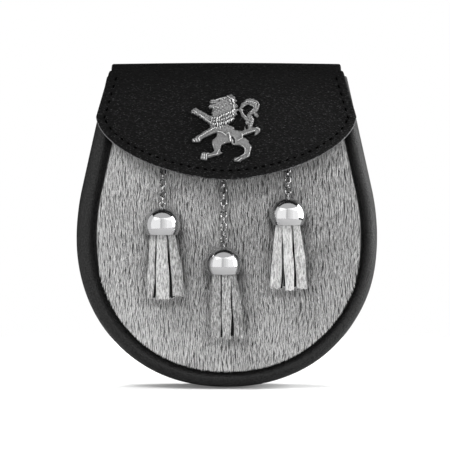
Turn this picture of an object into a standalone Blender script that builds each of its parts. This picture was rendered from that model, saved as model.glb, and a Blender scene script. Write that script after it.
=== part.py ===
"""A sporran pouch: a leather back, a rolled side wall, a fur front, a curved flap with a cast
rampant lion, and three suede tassels on fine chains.

Metres, +Z up. The front faces -Y and +X is to the right as seen from the front. The origin is
midway between the two rear loops, in the middle of the way that the belt strap takes through
them. Below, a height is measured up from the lowest point of the pouch, and a depth is measured
forward from the rear face of the back panel.
"""

import math

import bmesh
import bpy
import numpy as np
from mathutils import Matrix, Vector

COLLECTION = "sporran_pouch"
GAP = 0.0003  # between pieces that touch
FLAT_LIMIT_DEG = 1.0  # faces that turn by less than this are one face after a union
MERGE = 0.00005  # points of a turned profile that lie closer than this are one

# ---- where the origin lies ----
ORIGIN_HEIGHT = 0.1500
STRAP_SPACE = 0.0064  # depth of the strap's way through a rear loop
REAR_FACE_Y = -STRAP_SPACE / 2

# ---- outline of the pouch ----
HALF_WIDTH = 0.0900
WIDEST_HEIGHT = 0.0900
ROUND_POWER = 2.13  # the lower half is a superellipse, a little fuller than a circle
SIDE_RADIUS = 0.135  # arc that leads into the straight sides
SIDE_TAPER = 0.217  # how far a straight side leans in for each unit of height
BODY_TOP = 0.1866
ROUND_STEPS = 12
ARC_STEPS = 2
STRAIGHT_STEPS = 3

# ---- depth of the pouch ----
DEPTH_LOW = 0.0340  # at the crest of the rim
DEPTH_LOSS = 0.0100  # how much thinner it is at the narrowing's full height
NARROW_FROM = 0.0800
NARROW_TO = 0.1870
CROWN = 0.0040  # how far the fur front bulges
CROWN_CENTRE = 0.0950
CROWN_HALF_WIDTH = 0.0800
CROWN_DOWN = 0.0830
CROWN_UP = 0.1150

# ---- leather side wall with its rolled front rim ----
WALL = 0.0018
RIM_SIDE = 0.0114  # width of the rim seen from the front
RIM_BOTTOM = 0.0106
RIM_SKEW = 0.0011  # how much wider it is on the left and narrower on the right
CREST_SHARE = 0.60  # where the crest lies across the rim
ROLL_HEIGHT = 0.0090
GROOVE = 0.0039  # how far the seam lies behind the crest
WALL_HOLLOW = 0.0005
REAR_ROUND = 0.0045
REAR_FLANGE = 0.0090
FRONT_FLANGE = 0.0032

# ---- back panel and fur front ----
BACK_THICKNESS = 0.0020
BACK_INSET = 0.0010
BACK_TOP = 0.1875
FUR_THICKNESS = 0.0030
FUR_TOP = 0.1800
FUR_EDGE_DROP = 0.0006
FUR_INSET = 0.0004
FUR_RINGS = (1.0, 0.82, 0.6, 0.36, 0.14)
FUR_TOP_STEPS = 4  # points along its straight top

# ---- flap ----
FLAP_THICKNESS = 0.0025
FLAP_TOP = 0.1932  # height of the turn at its ends
FLAP_TOP_BOW = 0.0006  # how much higher the turn is in the middle
FLAP_TOP_HALF = 0.0683
FLAP_CORNER_HALF = 0.0771
FLAP_SHIFT = -0.0004  # it was sewn on a little to the left
FLAP_CORNER = 0.1615  # height of the two lower corners
FLAP_DROP = 0.0375  # from the corners to the lowest point
FLAP_CURVE_POWER = 1.7
FLAP_CURVE_ROOT = 0.56
FLAP_LIFT = 0.0070  # how far the lower edge stands off for the chains
LIFT_FROM = 0.1850
LIFT_FULL = 0.1260
LIFT_EASE = 1.2
LIFT_SIDE_LOSS = 0.6  # share of the lift that is gone at the corners
FLAP_TAIL_LOW = 0.1740
REAR_BEND = 0.0045
FRONT_BEND = 0.0055
FLAP_COLUMNS = 21
FLAP_ROWS = 8

# ---- rear loops ----
LOOP_SPACING = 0.0900
LOOP_WIDTH = 0.0240
LOOP_HALF_WAY = 0.0135  # half the height of the strap's way
LOOP_HALF_LENGTH = 0.0220
LOOP_THICKNESS = 0.0020
LOOP_SHOULDER = 0.0022

# ---- hidden closure ----
STUD_HEIGHT = 0.1420
STUD_RADIUS = 0.0050
STUD_NECK = 0.0030
STUD_GAP = 0.0007  # at its middle, because the two faces that it joins aren't parallel
STUD_SIDES = 12

# ---- chains: a link is a stadium of round wire ----
LINK_LENGTH = 0.0054
LINK_WIDTH = 0.0039
LINK_WIRE = 0.00075
LINK_CLEARANCE = 0.0002
LINK_END_STEPS = 5
STAPLE_WIRE = 0.0008
STAPLE_REACH = 0.0025  # from the fur panel to the middle of the staple's wire
STAPLE_RADIUS = 0.0020
STAPLE_STEPS = 7
STAPLE_SEARCHES = 6  # rounds that bring the staple onto the fur at the chain's own length

# ---- ball caps with a soldered eye ----
BALL_RADIUS = 0.0103
BALL_WALL = 0.0010
BALL_CUT = 0.0052  # from the ball's middle down to its open rim
BALL_SIDES = 14
BALL_OUTER_STEPS = 7
BALL_INNER_STEPS = 4
BALL_STANDOFF = 0.0008  # the depth of hair that it leans on
EYE_RADIUS = 0.0017
EYE_WIRE = 0.0008
EYE_HEIGHT = 0.0013  # of the eye's middle above the ball
EYE_STEPS = 10
EYE_SIDES = 6

# ---- suede strips, fused to a head inside the ball ----
HEAD_RADIUS = 0.0065
HEAD_TOP = 0.0030
HEAD_LOW = 0.0048
HEAD_SIDES = 12
STRIP_THICKNESS = 0.0014
STRIP_MOUTH_RADIUS = 0.0067
STRIP_MOUTH_WIDTH = 0.0054
STRIP_EASE = 0.45  # share of the splay that is curved
STRIP_LEVELS = (0.0035, 0.0090, 0.0200)  # below the ball's middle, above the cut ends

# Each tassel: name, sideways place, height of the ball's middle, number of links.
TASSELS = (
    ("left", -0.0376, 0.0976, 7),
    ("middle", -0.0019, 0.0747, 12),
    ("right", 0.0356, 0.1032, 6),
)

# Each strip: its turn round the mouth from the front towards +X, then at its cut end the
# sideways place, the depth from the ball's middle, the turn, the width and the drop from the
# ball's middle. They are listed under the names that TASSELS gives.
STRIPS = {
    "left": (
        # mouth_deg, end_x, end_depth, end_deg, width, drop
        (-60, -0.0070, 0.0030, -8, 0.0042, 0.0422),
        (-4, 0.0004, 0.0044, 2, 0.0083, 0.0434),
        (56, 0.0097, 0.0020, 14, 0.0077, 0.0416),
        (112, 0.0052, -0.0030, 156, 0.0060, 0.0430),
        (180, 0.0000, -0.0044, 184, 0.0074, 0.0422),
        (-118, -0.0064, -0.0032, -160, 0.0056, 0.0428),
    ),
    "middle": (
        (-42, -0.0045, 0.0034, -6, 0.0059, 0.0430),
        (14, 0.0017, 0.0044, 0, 0.0055, 0.0436),
        (62, 0.0092, 0.0026, 14, 0.0062, 0.0431),
        (116, 0.0060, -0.0028, 150, 0.0066, 0.0424),
        (180, 0.0006, -0.0044, 180, 0.0072, 0.0432),
        (-116, -0.0046, -0.0030, -164, 0.0056, 0.0428),
    ),
    "right": (
        (-60, -0.0074, 0.0030, -8, 0.0067, 0.0424),
        (-13, 0.0009, 0.0044, 2, 0.0058, 0.0436),
        (46, 0.0082, 0.0028, 10, 0.0067, 0.0428),
        (114, 0.0050, -0.0028, 156, 0.0060, 0.0424),
        (180, -0.0004, -0.0044, 178, 0.0074, 0.0420),
        (-116, -0.0058, -0.0030, -158, 0.0062, 0.0430),
    ),
}

# ---- cast badge: places from the badge's middle, in millimetres ----
BADGE_HEIGHT = 0.1543
BADGE_X = -0.0004
BADGE_REACH = 0.0190  # from its middle to where it meets the flap
BADGE_SAMPLES = 9  # places each way where its seat is measured
STROKE_SIDES = 6

LION = (
    # name, x0, z0, radius0, x1, z1, radius1, height
    ("trunk_front", -2.9, -1.0, 3.6, 1.7, -1.9, 3.2, 2.5),
    ("trunk_rear", 1.1, -3.9, 3.5, 7.0, -4.9, 3.0, 2.4),
    ("belly", -3.6, -4.6, 2.0, 1.1, -6.9, 2.6, 2.2),
    ("breast", -7.5, 1.4, 2.3, -2.2, 0.7, 3.2, 2.6),
    ("mane_low", -5.5, 4.0, 4.4, 1.1, 5.7, 3.5, 2.8),
    ("mane_middle", -3.6, 8.3, 5.0, 2.4, 9.6, 3.8, 3.0),
    ("mane_top", -0.6, 12.9, 4.0, 4.0, 12.9, 2.3, 3.0),
    ("skull", -2.2, 15.6, 3.1, 2.6, 16.9, 3.1, 2.9),
    ("crown", 0.7, 17.9, 2.1, 2.9, 19.7, 0.9, 2.0),
    ("muzzle", -8.1, 15.4, 1.8, -2.2, 14.9, 3.3, 2.6),
    ("jaw", -9.2, 12.9, 1.3, -3.6, 12.3, 2.6, 2.4),
    ("lock_1", 4.4, 16.4, 1.3, 6.0, 16.6, 0.4, 1.6),
    ("lock_2", 4.4, 13.8, 1.3, 6.5, 13.8, 0.4, 1.6),
    ("lock_3", 4.0, 11.0, 1.3, 6.6, 10.6, 0.4, 1.6),
    ("lock_4", 3.7, 8.3, 1.3, 6.2, 8.3, 0.4, 1.6),
    ("lock_5", 2.4, 5.7, 1.3, 4.6, 5.4, 0.5, 1.6),
    ("upper_arm", -8.6, 4.1, 2.6, -13.8, 7.5, 2.0, 2.3),
    ("upper_forearm", -13.8, 7.5, 1.9, -17.8, 10.0, 1.9, 2.1),
    ("upper_paw", -17.8, 10.0, 1.8, -19.7, 9.8, 1.2, 1.9),
    ("lower_arm", -6.6, -1.0, 2.3, -12.2, -3.9, 1.8, 2.3),
    ("lower_forearm", -12.2, -3.9, 1.7, -16.6, -6.6, 1.7, 2.1),
    ("lower_paw", -18.8, -7.7, 1.4, -16.1, -7.7, 1.3, 1.9),
    ("left_thigh", -2.2, -6.9, 3.5, -5.5, -9.2, 2.9, 2.5),
    ("left_shank", -5.5, -9.9, 2.8, -5.2, -13.9, 1.8, 2.3),
    ("left_foot", -5.2, -15.4, 1.6, -9.5, -17.2, 1.2, 2.0),
    ("left_paw", -9.5, -17.0, 1.3, -12.8, -17.0, 2.1, 2.1),
    ("left_toes", -14.2, -18.5, 1.1, -12.0, -19.2, 0.9, 1.6),
    ("left_heel", -5.0, -15.5, 1.3, -2.9, -15.5, 0.5, 1.6),
    ("right_thigh", 5.4, -8.2, 2.8, 9.7, -8.6, 2.6, 2.4),
    ("right_knee", 10.0, -9.2, 2.6, 12.7, -12.2, 2.1, 2.3),
    ("right_shank", 12.7, -12.2, 2.0, 12.2, -16.5, 1.7, 2.1),
    ("right_foot", 12.0, -16.8, 1.6, 7.7, -19.0, 1.4, 1.9),
    ("right_paw", 5.7, -19.5, 1.4, 7.7, -20.1, 1.0, 1.9),
    ("right_spur", 11.0, -8.9, 1.3, 12.4, -8.4, 0.7, 1.6),
    ("tail_root", 7.7, -3.9, 1.7, 12.7, -2.6, 1.4, 2.0),
    ("tail_limb", 12.7, -2.6, 1.3, 18.3, -0.9, 1.5, 1.8),
    ("tail_claw", 19.3, -1.6, 1.0, 17.6, -4.4, 0.4, 1.5),
    ("tail_spike", 11.3, -1.9, 0.7, 11.0, 0.2, 0.3, 1.3),
    ("tail_stem", 14.3, -0.9, 1.0, 15.5, 3.4, 1.4, 1.8),
    ("tail_turn", 15.3, 3.9, 1.4, 13.2, 7.0, 0.9, 1.7),
    ("loop_low", 12.9, 5.6, 0.9, 9.7, 9.0, 0.8, 1.6),
    ("loop_left", 9.6, 9.1, 0.8, 9.0, 12.6, 0.8, 1.6),
    ("loop_top", 9.1, 12.9, 0.8, 12.3, 16.6, 1.2, 1.7),
    ("brush", 12.3, 16.6, 1.2, 17.0, 16.3, 1.6, 1.8),
    ("brush_end", 17.0, 16.2, 1.5, 19.1, 13.6, 1.4, 1.8),
    ("hook", 18.8, 12.9, 1.1, 16.3, 10.0, 1.1, 1.6),
    ("barb", 16.3, 10.0, 0.9, 18.5, 7.3, 0.5, 1.4),
    ("tuft", 15.7, 9.2, 0.9, 13.2, 8.3, 0.4, 1.4),
    ("web", 5.6, 11.2, 0.5, 8.9, 11.3, 0.5, 1.0),
)

# Each finish: colour, roughness, metallic.
FINISHES = {
    "black_leather": ((0.012, 0.012, 0.013), 0.45, 0.0),
    "grey_fur": ((0.36, 0.36, 0.36), 0.80, 0.0),
    "suede_strips": ((0.52, 0.52, 0.51), 0.95, 0.0),
    "chrome": ((0.83, 0.83, 0.84), 0.06, 1.0),
    "antique_metal": ((0.40, 0.40, 0.40), 0.35, 1.0),
}


# ---------------------------------------------------------------- places and curves
def place(x, depth, height):
    """World points from the sideways place, the depth and the height."""
    x, depth, height = np.broadcast_arrays(x, depth, height)
    return np.stack([x, REAR_FACE_Y - depth, height - ORIGIN_HEIGHT], axis=-1)


def outline(top):
    """The U of the pouch from its left top round the bottom to its right top.

    Gives the places x and height, and the outward direction's two parts."""
    turn = np.radians(np.linspace(0.0, 90.0, ROUND_STEPS + 1))
    power = 2.0 / ROUND_POWER
    round_x = HALF_WIDTH * np.sin(turn) ** power
    round_height = WIDEST_HEIGHT * (1.0 - np.cos(turn) ** power)
    arc = np.linspace(0.0, math.atan(SIDE_TAPER), ARC_STEPS + 1)[1:]
    arc_x = HALF_WIDTH - SIDE_RADIUS * (1.0 - np.cos(arc))
    arc_height = WIDEST_HEIGHT + SIDE_RADIUS * np.sin(arc)
    straight_height = np.linspace(arc_height[-1], top, STRAIGHT_STEPS + 1)[1:]
    straight_x = arc_x[-1] - SIDE_TAPER * (straight_height - arc_height[-1])
    x = np.concatenate([round_x, arc_x, straight_x])
    height = np.concatenate([round_height, arc_height, straight_height])
    x = np.concatenate([-x[:0:-1], x])
    height = np.concatenate([height[:0:-1], height])
    run_x, run_height = np.gradient(x), np.gradient(height)
    length = np.hypot(run_x, run_height)
    return x, height, run_height / length, -run_x / length


def rim_width(out_x, out_height):
    """Width of the rim: narrower where the outline faces down, and wider on the left."""
    side = RIM_SIDE - RIM_SKEW * out_x
    return RIM_BOTTOM + (side - RIM_BOTTOM) * (1.0 - np.abs(out_height) ** 3)


def front_depth(height):
    """Depth of the rim's crest: full low down, easing back towards the mouth."""
    rise = np.clip((height - NARROW_FROM) / (NARROW_TO - NARROW_FROM), 0.0, None)
    return DEPTH_LOW - DEPTH_LOSS * rise**2


def bulge(x, height):
    """How far the front is crowned at a place: a paraboloid that ends at the rim."""
    reach = np.where(height < CROWN_CENTRE, CROWN_DOWN, CROWN_UP)
    apart = (x / CROWN_HALF_WIDTH) ** 2 + ((height - CROWN_CENTRE) / reach) ** 2
    return CROWN * np.clip(1.0 - apart, 0.0, None)


def fur_depth(x, height):
    """Depth of the fur panel's front face."""
    return front_depth(height) - FUR_EDGE_DROP + bulge(x, height)


def flap_half_width(height):
    """Half the flap's width: it widens from the turn down to the corners."""
    down = np.clip((FLAP_TOP - height) / (FLAP_TOP - FLAP_CORNER), 0.0, 1.0)
    return FLAP_TOP_HALF + (FLAP_CORNER_HALF - FLAP_TOP_HALF) * down


def flap_lower_edge(across):
    """Height of the lower edge, for a share across the flap from -1 to 1."""
    hang = np.clip(1.0 - np.abs(across) ** FLAP_CURVE_POWER, 0.0, None) ** FLAP_CURVE_ROOT
    return FLAP_CORNER - FLAP_DROP * hang


def flap_turn_height(across):
    """Height of the flap's turn over the mouth, bowed up in the middle."""
    return FLAP_TOP + FLAP_TOP_BOW * (1.0 - across**2)


def flap_depth(x, height):
    """Depth of the front leaf's outer face, which stands off more and more lower down."""
    down = np.clip((LIFT_FROM - height) / (LIFT_FROM - LIFT_FULL), 0.0, None)
    side_loss = 1.0 - LIFT_SIDE_LOSS * (x / FLAP_CORNER_HALF) ** 4
    lift = FLAP_LIFT * down**LIFT_EASE * side_loss
    return front_depth(height) + GAP + bulge(x, height) + lift + FLAP_THICKNESS


# ---------------------------------------------------------------- scene helpers
def clear_scene():
    """Remove every object and collection, so that the part starts from nothing."""
    for item in list(bpy.data.objects):
        bpy.data.objects.remove(item, do_unlink=True)
    for group in list(bpy.data.collections):
        bpy.data.collections.remove(group)


def new_collection(name):
    group = bpy.data.collections.new(name)
    bpy.context.scene.collection.children.link(group)
    return group


def finish(name, slot):
    """The material of one piece: a Principled shader with its slot's colour and gloss."""
    colour, roughness, metallic = FINISHES[slot]
    material = bpy.data.materials.new(name)
    material.use_nodes = True
    shader = material.node_tree.nodes["Principled BSDF"]
    shader.inputs["Base Color"].default_value = (*colour, 1.0)
    shader.inputs["Roughness"].default_value = roughness
    shader.inputs["Metallic"].default_value = metallic
    return material


def add_object(name, data, slot, group):
    """Link a named object and give it its own material."""
    piece = bpy.data.objects.new(name, data)
    group.objects.link(piece)
    if not data.materials:
        data.materials.append(finish(name, slot))
    return piece


def smooth(mesh, degrees=40.0):
    mesh.shade_smooth()
    mesh.set_sharp_from_angle(angle=math.radians(degrees))


def grid_mesh(name, points, closed=False):
    """A sheet of quads through a grid of points (rows, columns, 3)."""
    rows, columns = points.shape[:2]
    index = np.arange(rows * columns).reshape(rows, columns)
    if closed:
        index = np.hstack([index, index[:, :1]])
    corners = (index[:-1, :-1], index[:-1, 1:], index[1:, 1:], index[1:, :-1])
    quads = np.stack(corners, axis=-1).reshape(-1, 4).tolist()
    if closed:
        quads.append(index[-1, :-1].tolist())
    mesh = bpy.data.meshes.new(name)
    mesh.from_pydata(points.reshape(-1, 3).tolist(), [], quads)
    return mesh


def thicken(piece, thickness):
    """Make a sheet solid behind the face that it shows."""
    solid = piece.modifiers.new("thickness", "SOLIDIFY")
    solid.thickness = thickness
    solid.offset = -1.0
    solid.use_even_offset = True
    return solid


def add_sheet(name, points, thickness, slot, group, closed=False):
    mesh = grid_mesh(name, points, closed)
    smooth(mesh)
    piece = add_object(name, mesh, slot, group)
    thicken(piece, thickness)
    return piece


def mesh_from(bm, name):
    mesh = bpy.data.meshes.new(name)
    bm.to_mesh(mesh)
    bm.free()
    return mesh


def unite(piece, guide):
    """Fuse a piece with a hidden guide, whose own bodies may overlap each other."""
    guide.hide_render = True
    guide.display_type = "WIRE"
    join = piece.modifiers.new("union", "BOOLEAN")
    join.operation = "UNION"
    join.solver = "EXACT"
    join.use_self = True
    join.object = guide
    flatten = piece.modifiers.new("flat faces", "DECIMATE")
    flatten.decimate_type = "DISSOLVE"
    flatten.angle_limit = math.radians(FLAT_LIMIT_DEG)


# ---------------------------------------------------------------- leather and fur
def add_back_panel(group):
    """The flat back: the pouch's outline, drawn in a little, with a straight top."""
    x, height, out_x, out_height = outline(BACK_TOP)
    inner_x = x - BACK_INSET * out_x
    inner_height = height - BACK_INSET * out_height
    ring = place(inner_x, BACK_THICKNESS, inner_height)
    mesh = bpy.data.meshes.new("back_panel")
    mesh.from_pydata(ring.tolist(), [], [list(range(len(ring)))])
    piece = add_object("back_panel", mesh, "black_leather", group)
    thicken(piece, BACK_THICKNESS)


def gusset_profile():
    """The side wall's section from rear to front, as a table of rows.

    Each row gives the share of the rim's crest, the share of the rim beyond the crest, a fixed
    inset, and a depth that is counted from the rear (0) or from the front crest (1)."""
    quarter = np.radians((0.0, 30.0, 60.0, 90.0))
    rear = GAP + BACK_THICKNESS
    rows = [(0.0, 0.0, REAR_FLANGE, rear, 0)]
    for turn in quarter:
        inset = WALL_HOLLOW + REAR_ROUND * (1.0 - math.sin(turn))
        rows.append((0.0, 0.0, inset, rear + REAR_ROUND * (1.0 - math.cos(turn)), 0))
    rows.append((0.0, 0.0, 0.0, DEPTH_LOW / 2, 0))
    for turn in quarter:
        inset = WALL_HOLLOW * math.cos(turn)
        rows.append((1.0 - math.cos(turn), 0.0, inset, -ROLL_HEIGHT * (1.0 - math.sin(turn)), 1))
    for beyond in (0.3, 0.65, 1.0):
        rows.append((1.0, beyond, 0.0, -GROOVE * (1.0 - math.cos(math.pi * beyond)) / 2, 1))
    rows.append((1.0, 1.0, FRONT_FLANGE, -GROOVE, 1))
    return np.array(rows)


def add_gusset(group):
    """The side wall: its section carried round the U of the outline, open at both top ends."""
    x, height, out_x, out_height = outline(BODY_TOP)
    rim = rim_width(out_x, out_height)
    to_crest, past_crest, fixed, level, from_front = gusset_profile().T[:, :, None]
    inset = rim * (CREST_SHARE * to_crest + (1.0 - CREST_SHARE) * past_crest) + fixed
    wall_x = x - inset * out_x
    wall_height = height - inset * out_height
    depth = level + from_front * front_depth(wall_height)
    points = place(wall_x, depth, wall_height)
    add_sheet("gusset", points, WALL, "black_leather", group)


def add_fur_front(group):
    """The crowned hide panel: rings drawn in from its outline to its middle."""
    x, height, out_x, out_height = outline(FUR_TOP)
    inset = rim_width(out_x, out_height) + FUR_INSET
    edge_x = x - inset * out_x
    edge_height = height - inset * out_height
    top_x = np.linspace(edge_x[-1], edge_x[0], FUR_TOP_STEPS + 2)[1:-1]
    edge_x = np.concatenate([edge_x, top_x])
    edge_height = np.concatenate([edge_height, np.full(FUR_TOP_STEPS, edge_height[-1])])
    share = np.array(FUR_RINGS)[:, None]
    ring_x = share * edge_x
    ring_height = CROWN_CENTRE + share * (edge_height - CROWN_CENTRE)
    points = place(ring_x, fur_depth(ring_x, ring_height), ring_height)
    add_sheet("fur_front", points, FUR_THICKNESS, "grey_fur", group, closed=True)


def add_flap(group):
    """The flap in one piece: a rear tail, a turn over the mouth and the curved front leaf."""
    across = np.sin(np.radians(np.linspace(90.0, -90.0, FLAP_COLUMNS)))
    turn_height = flap_turn_height(across)
    turn_x = FLAP_SHIFT + across * FLAP_TOP_HALF
    tail_depth = -(GAP + FLAP_THICKNESS)
    front = flap_depth(turn_x, turn_height - FRONT_BEND)
    rows = [place(turn_x, tail_depth, FLAP_TAIL_LOW)]
    for turn in np.radians((0.0, 30.0, 60.0, 90.0)):
        depth = tail_depth + REAR_BEND * (1.0 - math.cos(turn))
        rows.append(place(turn_x, depth, turn_height - REAR_BEND * (1.0 - math.sin(turn))))
    for turn in np.radians((90.0, 60.0, 30.0)):
        depth = front - FRONT_BEND * (1.0 - math.cos(turn))
        rows.append(place(turn_x, depth, turn_height - FRONT_BEND * (1.0 - math.sin(turn))))
    leaf_top = turn_height - FRONT_BEND
    for share in np.linspace(0.0, 1.0, FLAP_ROWS):
        height = leaf_top + share * (flap_lower_edge(across) - leaf_top)
        x = FLAP_SHIFT + across * flap_half_width(height)
        rows.append(place(x, flap_depth(x, height), height))
    add_sheet("flap", np.stack(rows), FLAP_THICKNESS, "black_leather", group)


def add_belt_loop(name, middle_x, group):
    """A strap of leather whose two feet lie on the back panel and whose bridge stands off it."""
    foot = -(GAP + LOOP_THICKNESS)
    bridge = -(STRAP_SPACE + LOOP_THICKNESS)
    half = (
        # height from the loop's middle, depth of its outer face
        (LOOP_HALF_LENGTH, foot),
        (LOOP_HALF_WAY + LOOP_SHOULDER, foot),
        (LOOP_HALF_WAY, bridge + LOOP_SHOULDER),
        (LOOP_HALF_WAY - LOOP_SHOULDER, bridge),
    )
    profile = [(-up, depth) for up, depth in half] + list(half)[::-1]
    up, depth = np.array(profile).T[:, :, None]
    x = middle_x + np.array([LOOP_WIDTH / 2, -LOOP_WIDTH / 2])
    add_sheet(name, place(x, depth, ORIGIN_HEIGHT + up), LOOP_THICKNESS, "black_leather", group)


def slope_of(depth_at, x, height, reach):
    """How much depth a face loses for each unit of height, over a reach up and down."""
    return float(depth_at(x, height - reach) - depth_at(x, height + reach)) / (2 * reach)


def lean_back(slope):
    """The turn about X that lays a flat piece along a face of that slope."""
    return Matrix.Rotation(-math.atan(slope), 4, "X")


def seat_on_flap(x, height, reach):
    """Place and turn of a flat piece on the flap, whose highest place lies one gap behind it."""
    slope = slope_of(flap_depth, x, height, reach)
    over = np.linspace(-reach, reach, BADGE_SAMPLES)
    rise = flap_depth(x + over[None, :], height + over[:, None]) + slope * over[:, None]
    middle = Vector(place(x, float(rise.max()) + GAP, height).tolist())
    return Matrix.Translation(middle) @ lean_back(slope)


def add_snap_stud(group):
    """The hidden closure: a turned stud that fills the space between flap and fur panel."""
    low = float(fur_depth(0.0, STUD_HEIGHT)) + STUD_GAP
    high = float(flap_depth(0.0, STUD_HEIGHT)) - FLAP_THICKNESS - STUD_GAP
    waist = (high - low) / 2
    profile = (
        # radius, how far in front of the stud's middle
        (0.0, waist),
        (STUD_RADIUS, waist),
        (STUD_NECK, 0.0),
        (STUD_RADIUS, -waist),
        (0.0, -waist),
    )
    mesh = bpy.data.meshes.new("snap_stud")
    points = [(radius, 0.0, up) for radius, up in profile]
    mesh.from_pydata(points, [(i, i + 1) for i in range(len(points) - 1)], [])
    piece = add_object("snap_stud", mesh, "antique_metal", group)
    turn_profile(piece, STUD_SIDES)
    middle = Vector(place(0.0, (low + high) / 2, STUD_HEIGHT).tolist())
    face_front = Matrix.Rotation(math.radians(90.0), 4, "X")
    slopes = [slope_of(face, 0.0, STUD_HEIGHT, STUD_RADIUS) for face in (fur_depth, flap_depth)]
    piece.matrix_world = Matrix.Translation(middle) @ lean_back(sum(slopes) / 2) @ face_front


def turn_profile(piece, steps):
    """Turn a profile about the piece's own Z axis."""
    screw = piece.modifiers.new("turn", "SCREW")
    screw.steps = steps
    screw.render_steps = steps
    screw.use_merge_vertices = True
    screw.merge_threshold = MERGE


# ---------------------------------------------------------------- badge
def stroke_hull(bm, start, end, height):
    """One limb or lock of the badge: the hull round two flat discs, foot at y = 0."""
    corners = []
    for middle_x, middle_z, radius in (start, end):
        for level in (0.0, -height):
            for turn in np.linspace(0.0, 2 * math.pi, STROKE_SIDES, endpoint=False):
                x = middle_x + radius * math.cos(turn)
                z = middle_z + radius * math.sin(turn)
                corners.append(bm.verts.new((x, level, z)))
    hull = bmesh.ops.convex_hull(bm, input=corners)
    inner = {item for item in hull["geom_interior"] if isinstance(item, bmesh.types.BMVert)}
    inner |= {item for item in hull["geom_unused"] if isinstance(item, bmesh.types.BMVert)}
    bmesh.ops.delete(bm, geom=list(inner), context="VERTS")


def strokes_mesh(name, strokes):
    """The hulls of some strokes in one mesh, from millimetres to metres."""
    bm = bmesh.new()
    for _, x0, z0, r0, x1, z1, r1, height in strokes:
        stroke_hull(bm, (x0, z0, r0), (x1, z1, r1), height)
    bmesh.ops.scale(bm, vec=(0.001, 0.001, 0.001), verts=bm.verts)
    return mesh_from(bm, name)


def add_badge(group, guides):
    """The rampant lion: its strokes fused into one casting that lies on the flap."""
    seat = seat_on_flap(BADGE_X, BADGE_HEIGHT, BADGE_REACH)
    piece = add_object("lion_badge", strokes_mesh("lion_badge", LION[:1]), "antique_metal", group)
    guide = add_object("lion_strokes", strokes_mesh("lion_strokes", LION[1:]), "antique_metal", guides)
    piece.matrix_world = seat
    guide.matrix_world = seat
    unite(piece, guide)


# ---------------------------------------------------------------- chains and tassels
def wire_curve(name, points, wire, closed, slot):
    """A round wire of six sides through some points."""
    curve = bpy.data.curves.new(name, "CURVE")
    curve.dimensions = "3D"
    curve.bevel_depth = wire / 2
    curve.bevel_resolution = 1
    curve.use_fill_caps = not closed
    spline = curve.splines.new("POLY")
    spline.points.add(len(points) - 1)
    spline.use_cyclic_u = closed
    for spot, point in zip(spline.points, points):
        spot.co = (*point, 1.0)
    curve.materials.append(finish(name, slot))
    return curve


def link_curve():
    """One chain link: a stadium in the XZ plane, long along Z."""
    radius = (LINK_WIDTH - LINK_WIRE) / 2
    straight = (LINK_LENGTH - LINK_WIDTH) / 2
    points = []
    for side in (1.0, -1.0):
        for turn in np.linspace(0.0, math.pi, LINK_END_STEPS):
            x = side * radius * math.cos(turn)
            z = side * (straight + radius * math.sin(turn))
            points.append((x, 0.0, z))
    return wire_curve("chain_link", points, LINK_WIRE, True, "chrome")


def link_pitch():
    return LINK_LENGTH - 2 * LINK_WIRE - LINK_CLEARANCE


def link_hold():
    """From a link's middle to the middle of the staple's or eye's wire that it holds."""
    return LINK_LENGTH / 2 - LINK_WIRE - LINK_CLEARANCE - EYE_WIRE / 2


def ball_middle(x, height):
    """The ball leans on the hair of the front."""
    depth = float(fur_depth(x, height)) + BALL_STANDOFF + BALL_RADIUS
    return Vector(place(x, depth, height).tolist())


def chain_ends(x, height, links):
    """Middles of the wires that hold a chain: the staple's and the eye's."""
    eye = ball_middle(x, height) + Vector((0.0, 0.0, BALL_RADIUS + EYE_HEIGHT + EYE_RADIUS))
    length = 2 * link_hold() + (links - 1) * link_pitch()
    staple = eye + Vector((0.0, 0.0, length))
    for _ in range(STAPLE_SEARCHES):
        depth = float(fur_depth(x, staple.z + ORIGIN_HEIGHT)) + STAPLE_REACH
        away = (REAR_FACE_Y - depth) - eye.y
        staple = eye + Vector((0.0, away, math.sqrt(length**2 - away**2)))
    return staple, eye


def add_staple(name, middle, group):
    """A half ring of wire whose legs stand on the fur panel and whose crest holds the chain."""
    leg = STAPLE_REACH - GAP
    points = [(-STAPLE_RADIUS, leg, 0.0)]
    for turn in np.linspace(math.pi, 0.0, STAPLE_STEPS):
        x = STAPLE_RADIUS * math.cos(turn)
        points.append((x, STAPLE_RADIUS * (1.0 - math.sin(turn)), 0.0))
    points.append((STAPLE_RADIUS, leg, 0.0))
    piece = add_object(name, wire_curve(name, points, STAPLE_WIRE, False, "chrome"), "chrome", group)
    piece.location = middle


def add_chain(name, staple, eye, links, link, group):
    """Links along the line from the staple to the eye, each turned a quarter from the last."""
    along = (eye - staple).normalized()
    lean = Matrix.Rotation(math.atan2(along.y, -along.z), 4, "X")
    for number in range(links):
        spot = staple + along * (link_hold() + number * link_pitch())
        quarter = Matrix.Rotation(math.radians(90.0 * ((number + 1) % 2)), 4, "Z")
        piece = add_object(f"{name}_link_{number + 1:02d}", link, "chrome", group)
        piece.matrix_world = Matrix.Translation(spot) @ lean @ quarter


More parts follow.
